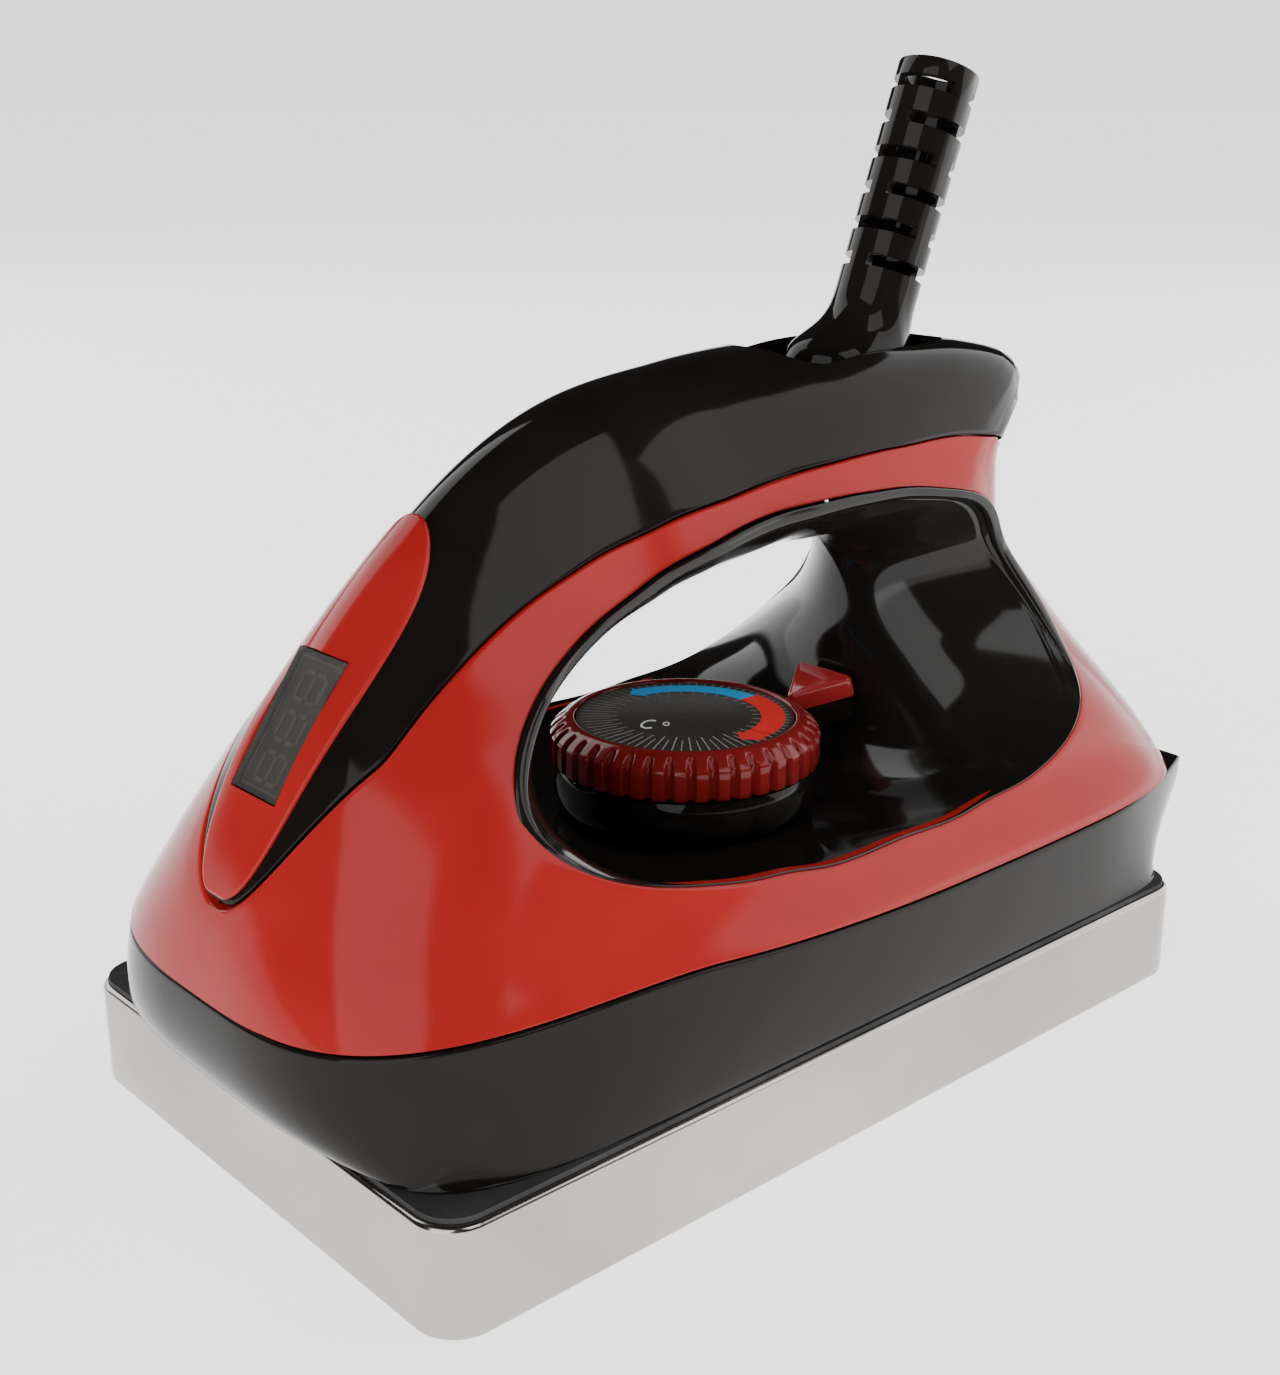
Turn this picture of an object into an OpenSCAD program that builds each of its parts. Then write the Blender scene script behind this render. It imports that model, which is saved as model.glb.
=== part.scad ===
// Electric waxing iron: a thick aluminium sole, a moulded body with a hand opening through it,
// a temperature dial, a digital display and a swivelling cord guard.
// The sole lies on z = 0, centred on the origin. The nose points along -Y and the heel along +Y.

/* [Sole] */
// Length of the base plate
plate_l = 155; // [150:1:158]
// Width of the base plate
plate_w = 91.5; // [90:0.5:94]
// Thickness of the base plate
plate_t = 16; // [14:0.5:16]
// Radius of the plate's upright corners
plate_corner_r = 6.5; // [4:0.5:9]

/* [Body] */
// Thickness of the moulded covers
wall = 2.2; // [1.8:0.1:2.4]
// Half of the gap between two neighbouring covers
seam_gap = 0.15; // [0.1:0.05:0.25]
// Width of the black lip around the hand opening
lip = 2.2; // [1.8:0.1:2.6]
// Half width of the rear cover
spine_half_w = 12.5; // [11:0.5:13]

/* [Dial] */
// Outer radius over the ribs
dial_r = 21.2; // [20:0.1:21.4]
// Number of ribs around the dial
dial_ribs = 40; // [24:1:48]
// Radius of the printed disc
face_r = 17.1; // [15:0.1:17.5]

/* [Cord guard] */
// Backward lean of the cord guard at rest, in degrees
guard_lean = 21; // [15:1:24]
// Outer radius of the slotted sleeve
sleeve_r = 6.6; // [6.4:0.1:7]
// Radius of the passage for the cord
cord_bore_r = 4.1; // [3.6:0.1:4.4]
// Number of rows of slots up the sleeve
slot_rows = 6; // [4:1:7]

/* [Hidden] */
$fn = 48;
eps = 0.01;

// ---------------------------------------------------------------- body surface
// In side view every curve is polar about the hub, a point inside the hand opening.
// Points are [y, z], in order of angle, counter-clockwise from the heel.
hub = [5, 65];

// Centre line of the body's outside: neck, tail, handle, nose, and closed below the sole
profile_points = [
    [65.5, 75], [62.5, 82], [61.5, 88], [63, 93], [67.5, 96.5], [69, 100], [66, 103.5],
    [58, 105.5], [40, 107], [20, 107.5], [0, 106.5], [-18, 104], [-43.5, 91.5], [-61, 74],
    [-72.5, 57], [-79, 44], [-83, 32], [-84, 20], [-76, 0], [-45, -22], [5, -30], [50, -20],
    [85, 10], [87.5, 33], [83, 47], [75, 62]
];

// Edge of the hand opening on the sides of the body
rim_points = [
    [59, 69], [53, 79], [49, 83], [38, 85.5], [22, 87], [8, 86.7], [-8, 84.2], [-23, 79.8],
    [-34, 75], [-42, 70], [-48.5, 64], [-51.5, 59], [-51, 54.5], [-47, 50.5], [-39.5, 47.4],
    [-27, 44.4], [-12, 42.3], [8, 41.4], [27, 42], [42, 43.5], [52.5, 47], [58.5, 52], [61, 59]
];

// The same opening on the centre plane, where the handle and the columns are thickest
waist_points = [
    [37.5, 72], [33, 76], [20, 76.5], [5, 75.5], [-8, 73], [-21, 69], [-32, 63.5], [-37.5, 57.5],
    [-39.5, 51], [-37, 43.5], [-27, 38], [-8, 36], [5, 36], [20, 36], [30, 37.5], [36, 42],
    [38, 50], [38, 60]
];

// Seam between the handle cover and the shell, from the neck to the tip of the tongue
cover_seam_points = [
    [57.5, 91], [50.5, 92], [31.5, 92.5], [14.7, 91.6], [-1.5, 89.5], [-16.5, 87], [-30, 83.2],
    [-40, 79], [-49.5, 73.5], [-56, 69], [-62, 64], [-67.7, 59], [-73, 53.3], [-77, 47.6],
    [-79.2, 43.5]
];

// [height, half width of the body's sides]
side_widths = [
    [0, 46], [20, 46], [33, 45.3], [40, 41.5], [48, 38.5], [62, 34], [75, 26.5], [87, 20.5],
    [97, 18], [110, 17]
];

// [angle about the hub, exponent of the superellipse that rounds the section off there]
section_exponents = [
    [0, 2.7], [14, 3], [22, 5], [30, 6.5], [40, 6], [52, 4.4], [66, 3.2], [90, 2.4], [130, 2.1],
    [160, 1.9],
    [172, 2], [182, 2.25], [190, 2.65], [198, 3.2], [206, 3.75], [216, 4.1], [240, 4.1],
    [300, 4], [320, 5], [337, 6.5], [350, 3.2]
];

function turn(a) = a < 0 ? a + 360 : a;
function angle_of(p) = turn(atan2(p[1] - hub[1], p[0] - hub[0]));
function polar_table(points) = [for (p = points) [angle_of(p), norm(p - hub)]];
function wrapped(t) =
    let (n = len(t))
    concat(
        [for (i = [n - 3 : n - 1]) [t[i][0] - 360, t[i][1]]],
        t,
        [for (i = [0 : 2]) [t[i][0] + 360, t[i][1]]]
    );

// Smooth curve through a table of [x, y], with the slopes of its neighbours at each entry
function slope_at(t, k) =
    let (a = max(k - 1, 0), b = min(k + 1, len(t) - 1))
    (t[b][1] - t[a][1]) / (t[b][0] - t[a][0]);
function smooth(t, x) =
    let (
        k = min(max(len([for (e = t) if (e[0] <= x) 1]) - 1, 0), len(t) - 2),
        h = t[k + 1][0] - t[k][0],
        s = min(max((x - t[k][0]) / h, 0), 1)
    )
    (2 * s ^ 3 - 3 * s ^ 2 + 1) * t[k][1] + (s ^ 3 - 2 * s ^ 2 + s) * h * slope_at(t, k)
    + (3 * s ^ 2 - 2 * s ^ 3) * t[k + 1][1] + (s ^ 3 - s ^ 2) * h * slope_at(t, k + 1);

profile = wrapped(polar_table(profile_points));
rim = wrapped(polar_table(rim_points));
waist = wrapped(polar_table(waist_points));
cover_seam = polar_table(cover_seam_points);
exponents = wrapped(section_exponents);

function at(table, a) = smooth(table, (a + 720) % 360);
function side_point(a, r) = [hub[0] + r * cos(a), hub[1] + r * sin(a)];

// Point of the outside at angle a about the hub. phi runs from 0 on the centre line to 90
// on the flat of the side. inset moves the point inwards, square to the surface, or only
// sideways where level is 1.
function body_point(a, phi, inset = 0, level = 0) =
    let (
        n = at(exponents, a),
        top = at(profile, a),
        r = top * cos(phi) ^ (2 / n),
        w = smooth(side_widths, side_point(a, r)[1]),
        x = w * sin(phi) ^ (2 / n),
        slant = [sin(phi) ^ (2 - 2 / n) / w, cos(phi) ^ (2 - 2 / n) / top],
        inward = inset * slant / norm(slant)
    )
    concat(x - inward[0], side_point(a, r - inward[1] * (1 - level)));
function phi_of(a, r) = acos(min(r / at(profile, a), 1) ^ (at(exponents, a) / 2));

// phi at which the side is a given distance from the centre plane
function phi_at_width(a, x) =
    let (w = smooth(side_widths, side_point(a, at(profile, a))[1]))
    asin(min(x / w, 1) ^ (at(exponents, a) / 2));
function mirrored(p) = [-p[0], p[1], p[2]];
function signed_point(a, phi, inset) =
    phi < 0 ? mirrored(body_point(a, -phi, inset)) : body_point(a, phi, inset);

// ---------------------------------------------------------------- seams
// Height of the seam between the skirt and the shell
function seam_z(y) =
    33 + (y < 20 ? 3.4 : 1) * ((y - 20) / 60) ^ 2 - 10.7 * (max(-30 - y, 0) / 52.7) ^ 1.7;
neck_angle = 25.3;
tongue_angle = angle_of([-79.2, 43.5]);
nose_y = -82.9;
nose_angle = angle_of([nose_y, seam_z(nose_y)]);
heel_y = 87.1;
heel_angle = angle_of([heel_y, seam_z(heel_y)]);

// Points along the skirt's seam, closer together where it turns at the nose and the heel
seam_steps = 26;
seam_ys = [for (k = [0 : seam_steps])
    (nose_y + heel_y) / 2 - (heel_y - nose_y) / 2 * cos(180 * k / seam_steps)];

function spine_phi(a, gap) = phi_at_width(a, spine_half_w + gap);

// The cover ends at the nose in a round tongue with this radius at its tip
tongue_tip_r = 6;
function tip_angle(gap) = tongue_angle - gap / at(profile, tongue_angle) * 180 / PI;
function tongue_half_w(a, gap) =
    let (from_tip = max(tip_angle(gap) - a, 0) * PI / 180 * at(profile, tongue_angle))
    sqrt(2 * tongue_tip_r * from_tip) - gap * min(from_tip / tongue_tip_r, 1);
function cover_phi(a, gap) =
    min(phi_of(a, smooth(cover_seam, a) + gap), phi_at_width(a, tongue_half_w(a, gap)));

// ---------------------------------------------------------------- solids from grids
function flat(rows) = [for (row = rows) for (p = row) p];
function two_triangles(a, b, c, d) = [[a, b, c], [a, c, d]];

// Closed solid between two grids of points that have the same rows and columns.
// The outer grid is seen with its rows running downwards and its columns left to right.
module sheet_solid(outer, inner, closed = false) {
    n = len(outer);
    m = len(outer[0]);
    rows = closed ? n : n - 1;
    function o(i, j) = (i % n) * m + j;
    function q(i, j) = n * m + o(i, j);
    faces = concat(
        [for (i = [0 : rows - 1]) for (j = [0 : m - 2])
            each two_triangles(o(i, j), o(i, j + 1), o(i + 1, j + 1), o(i + 1, j))],
        [for (i = [0 : rows - 1]) for (j = [0 : m - 2])
            each two_triangles(q(i, j), q(i + 1, j), q(i + 1, j + 1), q(i, j + 1))],
        [for (i = [0 : rows - 1])
            each two_triangles(o(i, 0), o(i + 1, 0), q(i + 1, 0), q(i, 0))],
        [for (i = [0 : rows - 1])
            each two_triangles(o(i, m - 1), q(i, m - 1), q(i + 1, m - 1), o(i + 1, m - 1))],
        closed ? [] : [for (j = [0 : m - 2])
            each two_triangles(o(0, j), q(0, j), q(0, j + 1), o(0, j + 1))],
        closed ? [] : [for (j = [0 : m - 2])
            each two_triangles(o(n - 1, j), o(n - 1, j + 1), q(n - 1, j + 1), q(n - 1, j))]
    );
    polyhedron(concat(flat(outer), flat(inner)), faces);
}

// Closed shell with a left and a right half: the rows run round the hand opening, and the
// columns run from the outer edge to the opening. Where welded is true, the halves meet on
// the centre plane.
module paired_sheet_solid(outer, inner, welded) {
    n = len(outer);
    m = len(outer[0]);
    function index(side, layer, i, j) =
        (((j == 0 && welded[i % n] ? 0 : side) * 2 + layer) * n + i % n) * m + j;
    function facing(side, a, b, c, d) =
        side == 0 ? two_triangles(d, c, b, a) : two_triangles(a, b, c, d);
    function ring(side, i, layer_a, j_a, layer_b, j_b) = facing(
        side, index(side, layer_a, i, j_a), index(side, layer_a, i + 1, j_a),
        index(side, layer_b, i + 1, j_b), index(side, layer_b, i, j_b)
    );
    faces = [for (side = [0, 1]) for (i = [0 : n - 1]) each concat(
        [for (j = [0 : m - 2]) each ring(side, i, 0, j, 0, j + 1)],
        [for (j = [0 : m - 2]) each ring(side, i, 1, j + 1, 1, j)],
        ring(side, i, 0, m - 1, 1, m - 1),
        welded[i] && welded[(i + 1) % n] ? [] : ring(side, i, 1, 0, 0, 0)
    )];
    half_points = concat(flat(outer), flat(inner));
    polyhedron(concat(half_points, [for (p = half_points) mirrored(p)]), faces);
}

// ---------------------------------------------------------------- moulded covers
// Stations round the main shell: [angle, phi of the outer edge, is it on the centre line]
top_steps = 44;
rear_steps = 9;

// Angles along the cover's seam, closer together towards the tip of the tongue
function cover_angle(k, gap) =
    tip_angle(gap) + (neck_angle - tip_angle(gap)) * (1 - k / top_steps) ^ 2;
function top_edge_phi(a) =
    a < 45 ? max(cover_phi(a, -seam_gap), spine_phi(a, seam_gap)) : cover_phi(a, -seam_gap);
function skirt_edge(y) =
    let (p = [y, seam_z(y) + seam_gap], a = angle_of(p))
    [a, max(phi_of(a, norm(p - hub)), y > 0 ? spine_phi(a, seam_gap) : 0), false];
shell_stations = concat(
    [for (k = [0 : top_steps - 1])
        let (a = cover_angle(k, -seam_gap)) [a, top_edge_phi(a), false]],
    [for (k = [0 : 2])
        [tip_angle(-seam_gap) + (nose_angle - tip_angle(-seam_gap)) * k / 2, 0, true]],
    [for (k = [1 : seam_steps]) skirt_edge(seam_ys[k])],
    [for (k = [1 : rear_steps - 1])
        let (a = heel_angle + (360 + neck_angle - heel_angle) * k / rear_steps)
        [a, spine_phi(a, seam_gap), false]]
);
shell_columns = 6;
function shell_row(station, inset) =
    let (a = station[0], rim_phi = phi_of(a, at(rim, a)))
    [for (j = [0 : shell_columns])
        let (t = j / shell_columns)
        body_point(a, station[1] + (rim_phi - station[1]) * t, inset, t)];

module main_shell() {
    color("firebrick")
    paired_sheet_solid(
        [for (s = shell_stations) shell_row(s, 0)],
        [for (s = shell_stations) shell_row(s, wall)],
        [for (s = shell_stations) s[2]]
    );
}

// Band of the body between -phi and phi at each station [angle, phi], from one depth to another
module body_band(stations, columns, depth_a, depth_b) {
    function band_row(s, inset) =
        [for (j = [0 : columns]) signed_point(s[0], s[1] * (2 * j / columns - 1), inset)];
    sheet_solid(
        [for (s = stations) band_row(s, depth_a)],
        [for (s = stations) band_row(s, depth_b)]
    );
}

cover_stations = [for (k = [0 : top_steps - 1])
    let (a = cover_angle(k, seam_gap))
    [a, a < 45 ? max(cover_phi(a, seam_gap), spine_phi(a, -seam_gap)) : cover_phi(a, seam_gap)]];
module handle_cover() {
    color([0.07, 0.07, 0.07])
    difference() {
        body_band(cover_stations, 12, 0, wall);
        display_frame() cube([window_w + 1.2, window_l + 1.2, 20], center = true);
        guard_slot();
    }
}

rear_stations = [for (k = [0 : rear_steps])
    let (a = heel_angle + 1 + (359.5 + neck_angle - heel_angle - 1) * k / rear_steps)
    [a, spine_phi(a, -seam_gap)]];
module rear_cover() {
    color([0.07, 0.07, 0.07])
    difference() {
        body_band(rear_stations, 6, 0, wall);
        for (a = rear_screw_angles)
            on_centre_line(a) translate([0, 0, -8]) cylinder(h = 12, r = 2.9);
    }
}

// Sheet that lines the hand opening from rim to rim, with the deck below the dial
liner_t = lip - 2 * seam_gap;
function liner_x(a) = body_point(a, phi_of(a, at(rim, a) - lip))[0];
liner_edge = 0.94;
function liner_r(a, s) =
    let (t = min(abs(s) / liner_edge, 1))
    at(waist, a) + (at(rim, a) - lip - at(waist, a)) * t ^ (2 + 3 * max(-sin(a), 0) ^ 2);
liner_rows = 72;
liner_columns = 12;
function liner_row(a, depth) =
    [for (j = [0 : liner_columns])
        let (s = sin(90 * (2 * j / liner_columns - 1)))
        concat(s * liner_x(a), side_point(a, liner_r(a, s) + depth))];
module grip_liner() {
    angles = [for (i = [0 : liner_rows - 1]) -360 * i / liner_rows];
    color([0.09, 0.09, 0.09])
    difference() {
        sheet_solid(
            [for (a = angles) liner_row(a, 0)],
            [for (a = angles) liner_row(a, liner_t)],
            true
        );
        translate([0, dial_y, deck_z - 10]) cylinder(h = 20, r = shaft_r + 2.2);
    }
}

// Skirt: from the shell's seam down to the plate, with a pocket behind the heel
gasket_t = 0.8;
skirt_bottom_z = plate_t + gasket_t + 0.2;
skirt_half = [44.6, 77.6];
nose_corner_power = 7;
heel_corner_power = 14;
pocket_half = [44.5, 89.5];
pocket_corner = [37, 87.5];
function superellipse(direction, half, n) =
    let (u = [cos(direction), sin(direction)])
    u * (abs(u[0] / half[0]) ^ n + abs(u[1] / half[1]) ^ n) ^ (-1 / n);
function ramp(x) = let (s = min(max(x, 0), 1)) s * s * (3 - 2 * s);
function seam_point(y) =
    let (a = angle_of([y, seam_z(y)]))
    body_point(a, phi_of(a, norm([y, seam_z(y)] - hub)));
function skirt_top(y) =
    let (
        narrowing = pocket_half[0] - pocket_corner[0],
        pocket_x = pocket_half[0] - narrowing * (max(y - 50, 0) / (pocket_corner[1] - 50)) ^ 2,
        blend = ramp((y - 40) / 35)
    )
    [seam_point(y)[0] * (1 - blend) + pocket_x * blend, y, seam_z(y) - seam_gap];
skirt_columns = 6;
nose_bulge = 1.5;
function skirt_row(top, depth) =
    let (
        upper = [top[0] * (1 - depth / pocket_half[0]), top[1] * (1 - depth / pocket_half[1])],
        corner_power = top[1] < 0 ? nose_corner_power : heel_corner_power,
        plan = superellipse(atan2(top[1], top[0]), skirt_half, corner_power),
        lower = [plan[0] * (1 - depth / skirt_half[0]), plan[1] * (1 - depth / skirt_half[1])],
        bulge = nose_bulge * ramp(-top[1] / 60)
    )
    [for (j = [0 : skirt_columns])
        let (t = 90 * j / skirt_columns)
        concat(
            lower + (upper - lower) * cos(t) + bulge * sin(2 * t) * upper / norm(upper),
            top[2] + (skirt_bottom_z - top[2]) * sin(t)
        )];
skirt_right = [for (k = [0 : seam_steps]) skirt_top(seam_ys[k])];
skirt_tops = concat(
    [skirt_right[0] - [skirt_right[0][0], 0, 0]],
    [for (k = [1 : seam_steps - 1]) mirrored(skirt_right[k])],
    [for (side = [-1, -0.7, -0.3, 0.3, 0.7, 1])
        [side * pocket_corner[0], pocket_half[1] - (pocket_half[1] - pocket_corner[1]) * side ^ 2,
            seam_z(heel_y) - seam_gap]],
    [for (k = [seam_steps - 1 : -1 : 1]) skirt_right[k]]
);
module lower_skirt() {
    color([0.07, 0.07, 0.07])
    sheet_solid(
        [for (t = skirt_tops) skirt_row(t, 0)],
        [for (t = skirt_tops) skirt_row(t, wall)],
        true
    );
}

// ---------------------------------------------------------------- sole and chassis
module rounded_slab(half_x, y_low, y_high, r, h) {
    linear_extrude(h) {
        translate([-half_x + r, y_low]) square([2 * (half_x - r), y_high - y_low]);
        translate([-half_x, y_low + r]) square([2 * half_x, y_high - y_low - 2 * r]);
        for (x = [-half_x + r, half_x - r]) for (y = [y_low + r, y_high - r])
            translate([x, y]) circle(r);
    }
}
fit_gap = 0.05;
plate_screw_places = [[-33, -62], [33, -62], [-36, 66], [36, 66]];
element_r = 3.25;
element_half = 26;
element_front = -35;
element_back = 62;
element_z = plate_t - 3.5;
sensor_place = [0, -10];
sensor_r = 2.5;

// U-shaped path of the heating element, with any section radius
module element_path(r) {
    translate([0, element_front, element_z]) rotate([0, 0, 180])
        rotate_extrude(angle = 180) translate([element_half, 0]) circle(r);
    for (x = [-element_half, element_half])
        translate([x, element_front, element_z]) rotate([-90, 0, 0])
            cylinder(h = element_back - element_front, r = r);
}
module u_outline(half, l) {
    circle(half);
    translate([-half, 0]) square([2 * half, l]);
}
module base_plate() {
    groove_r = element_r + fit_gap;
    color([0.78, 0.77, 0.75])
    difference() {
        rounded_slab(plate_w / 2, -plate_l / 2, plate_l / 2, plate_corner_r, plate_t);
        translate([0, element_front, element_z - groove_r]) linear_extrude(plate_t) difference() {
            u_outline(element_half + groove_r, element_back - element_front + groove_r);
            u_outline(element_half - groove_r, element_back - element_front + plate_t);
        }
        for (p = plate_screw_places)
            translate([p[0], p[1], plate_t - 9]) cylinder(h = 10, r = 2 + fit_gap);
        translate(concat(sensor_place, plate_t - 5)) cylinder(h = 6, r = sensor_r + fit_gap);
    }
}
module heating_element() {
    color([0.55, 0.53, 0.5]) {
        element_path(element_r);
        for (x = [-element_half, element_half])
            translate([x, element_back, element_z - element_r]) cylinder(h = 13, r = element_r);
    }
}
module element_terminals() {
    color("silver")
    for (x = [-element_half, element_half])
        translate([x, element_back, element_z - element_r + 13]) {
            cylinder(h = 2.5, r = 1.5);
            translate([-3, -0.4, 0]) cube([6, 0.8, 4.5]);
        }
}
gasket_inset = 0.9;
chassis_z = plate_t + gasket_t + 2 * fit_gap;
chassis_t = 3;
module heat_gasket() {
    color([0.13, 0.13, 0.13])
    difference() {
        translate([0, 0, plate_t + fit_gap])
            rounded_slab(plate_w / 2 - gasket_inset, gasket_inset - plate_l / 2,
                plate_l / 2 - gasket_inset, plate_corner_r - gasket_inset, gasket_t);
        for (p = plate_screw_places)
            translate([p[0], p[1], plate_t - 1]) cylinder(h = 5, r = 2.4);
        for (x = [-element_half, element_half])
            translate([x, element_back, plate_t - 1]) cylinder(h = 5, r = 4);
        translate(concat(sensor_place, plate_t - 1)) cylinder(h = 5, r = sensor_r + 0.5);
    }
}
module chassis_frame() {
    color([0.12, 0.12, 0.12])
    difference() {
        translate([0, 0, chassis_z]) rounded_slab(38.5, -68, 70, 12, chassis_t);
        translate([0, 0, chassis_z - 1]) rounded_slab(29, -48, 44, 4, chassis_t + 2);
        for (p = plate_screw_places)
            translate([p[0], p[1], chassis_z - 1]) cylinder(h = 6, r = 2.2);
        for (x = [-element_half, element_half])
            translate([x, element_back, chassis_z - 1]) cylinder(h = 6, r = 4);
        for (p = board_screw_places)
            translate([p[0], p[1], chassis_z - 1]) cylinder(h = 6, r = 1.4 + fit_gap);
    }
}
module pan_screw(shank_r, shank_l, head_r, head_h) {
    translate([0, 0, -shank_l]) cylinder(h = shank_l + eps, r = shank_r);
    difference() {
        cylinder(h = head_h, r = head_r);
        translate([-head_r, -0.4, head_h - 0.8]) cube([2 * head_r, 0.8, 2]);
    }
}
module plate_screws() {
    color("silver")
    for (p = plate_screw_places)
        translate([p[0], p[1], chassis_z + chassis_t + fit_gap]) pan_screw(2, 12, 3.8, 2.4);
}
module heel_tray() {
    tray_z = 27.8;
    tray_half = [42, 85.3];
    arc = [for (k = [0 : 24]) superellipse(57 + 66 * k / 24, tray_half, 6)];
    color([0.07, 0.07, 0.07]) translate([0, 0, tray_z]) linear_extrude(2)
        polygon(arc);
}

// ---------------------------------------------------------------- dial
dial_y = 3.75;
deck_z = 36;
pedestal_r = 20.4;
pedestal_z = 36.5;
pedestal_top = 44;
shaft_r = 3;
knob_z = pedestal_top + 0.4;
knob_top = 51.4;
rib_depth = 0.9;
module on_dial_axis(z) {
    translate([0, dial_y, z]) children();
}
module dial_pedestal() {
    color([0.08, 0.08, 0.08])
    on_dial_axis(0) difference() {
        translate([0, 0, pedestal_z])
            cylinder(h = pedestal_top - pedestal_z, r = pedestal_r, $fn = 96);
        translate([0, 0, pedestal_z - 1])
            cylinder(h = pedestal_top - 2 - pedestal_z + 1, r = pedestal_r - 2);
        cylinder(h = 60, r = shaft_r + fit_gap);
    }
}
module dial_knob() {
    pitch = 360 / dial_ribs;
    outline = [for (i = [0 : dial_ribs - 1]) for (e = [[0, 1], [0.3, 0], [0.7, 0], [1, 1]])
        if (e[0] < 1) (dial_r - rib_depth * e[1]) * [cos((i + e[0]) * pitch), sin((i + e[0]) * pitch)]];
    color([0.6, 0.08, 0.08])
    on_dial_axis(0) difference() {
        union() {
            translate([0, 0, knob_z]) linear_extrude(6) polygon(outline);
            translate([0, 0, knob_z + 6 - eps])
                cylinder(h = 1 + eps, r1 = dial_r - 1, r2 = dial_r - 2.6, $fn = 96);
        }
        translate([0, 0, knob_top - 0.8]) cylinder(h = 2, r = face_r + fit_gap, $fn = 96);
        translate([0, 0, knob_z - 1]) cylinder(h = 5.5, r = shaft_r + 0.02);
    }
}
module dial_face() {
    color([0.1, 0.1, 0.1])
    on_dial_axis(knob_top - 0.75) cylinder(h = 0.7, r = face_r, $fn = 96);
}
module dial_shaft() {
    color("silver") on_dial_axis(37.5) cylinder(h = knob_z + 4.4 - 37.5, r = shaft_r);
}
module shaft_clip() {
    color("gray") on_dial_axis(41.1) difference() {
        cylinder(h = 0.7, r = 5.2);
        translate([0, 0, -1]) cylinder(h = 3, r = shaft_r + 0.02);
    }
}
module potentiometer() {
    color([0.2, 0.35, 0.5]) on_dial_axis(pedestal_z + 0.2) difference() {
        translate([-8.5, -8.5, 0]) cube([17, 17, 4]);
        translate([0, 0, 0.6]) cylinder(h = 5, r = shaft_r + fit_gap);
    }
}

// ---------------------------------------------------------------- indicator
lens_tilt = 17;
module lens_frame() {
    translate([0, 27.9, 45.9]) rotate([lens_tilt, 0, 0]) children();
}
module indicator_lens() {
    color([0.75, 0.12, 0.12, 0.8])
    lens_frame() linear_extrude(3.4) polygon([[0, 0], [6.4, 9.8], [-6.4, 9.8]]);
}
module lens_holder() {
    color([0.08, 0.08, 0.08])
    lens_frame() translate([0, 0, -3.2]) linear_extrude(3.1)
        polygon([[-1, -0.6], [1, -0.6], [6.6, 7.4], [-6.6, 7.4]]);
}
module indicator_led() {
    color([0.9, 0.2, 0.2]) translate([0, 40.8, 50]) rotate([-90, 0, 0]) cylinder(h = 5, r = 1.5);
}

// ---------------------------------------------------------------- display
window_w = 10.6;
window_l = 20.2;
display_angle = 179.3;
bezel_from = 153.3;
bezel_to = 193.3;

// Turns +Z to the outward normal of the centre line at angle a, and +Y up the slope
module on_centre_line(a) {
    p = body_point(a, 0);
    ahead = body_point(a - 1, 0) - body_point(a + 1, 0);
    translate(p) rotate([atan2(ahead[2], ahead[1]), 0, 0]) children();
}
module display_frame() {
    on_centre_line(display_angle) children();
}
function bezel_half_w(t) = 15.3 * sqrt(t) * (1 - t) ^ (1 / 3);
bezel_stations = [for (k = [0 : 20])
    let (t = (1 - cos(9 * k)) / 2 * 0.998 + 0.001, a = bezel_from + (bezel_to - bezel_from) * t)
    [a, phi_at_width(a, bezel_half_w(t))]];
module display_bezel() {
    color("firebrick")
    difference() {
        body_band(bezel_stations, 8, -0.9, -0.1);
        display_frame() cube([window_w + 0.4, window_l + 0.4, 20], center = true);
    }
}
module display_window() {
    color([0.2, 0.18, 0.18, 0.7])
    display_frame() translate([0, 0, -0.8]) cube([window_w, window_l, 1.6], center = true);
}
module display_module() {
    color([0.35, 0.36, 0.34])
    display_frame() {
        translate([-7, -11, -9.2]) cube([14, 22, 4.6]);
        translate([-5, -9.6, -4.6]) cube([10, 19.2, 2.8]);
    }
}
module display_board() {
    color([0.1, 0.35, 0.2]) display_frame() translate([-9, -16, -10.9]) cube([18, 32, 1.6]);
}
module ribbon_cable() {
    color([0.75, 0.75, 0.72])
    translate([-9, 0, 0]) rotate([90, 0, 90]) linear_extrude(9)
        polygon([[-66, 46], [-65, 46.4], [-56, 34], [-53, 28.4], [-53, 27.8], [-54, 27.8], [-57, 33.6]]);
}

// ---------------------------------------------------------------- electronics
board_z = 26;
board_t = 1.6;
board_top = board_z + board_t + fit_gap;
board_screw_places = [[-25, -54], [25, -54], [-25, 48], [25, 48]];
module control_board() {
    color([0.1, 0.35, 0.2])
    difference() {
        translate([0, 0, board_z]) rounded_slab(31, -58, 52, 3, board_t);
        for (p = board_screw_places)
            translate([p[0], p[1], board_z - 1]) cylinder(h = 4, r = 1.5);
    }
}
module board_standoffs() {
    low = chassis_z + chassis_t + fit_gap;
    color("silver")
    for (p = board_screw_places) translate([p[0], p[1], low]) difference() {
        cylinder(h = board_z - low - fit_gap, r = 3);
        translate([0, 0, -1]) cylinder(h = 10, r = 1.4 + fit_gap);
    }
}
module board_screws() {
    color("silver")
    for (p = board_screw_places) translate([p[0], p[1], board_top]) pan_screw(1.4, 8, 2.8, 1.8);
}
module triac_heatsink() {
    color([0.7, 0.7, 0.72]) translate([1, -54, board_top]) {
        cube([20, 2, 18]);
        for (k = [0 : 3]) translate([k * 6, -3, 0]) cube([2, 3 + eps, 18]);
    }
}
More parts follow.
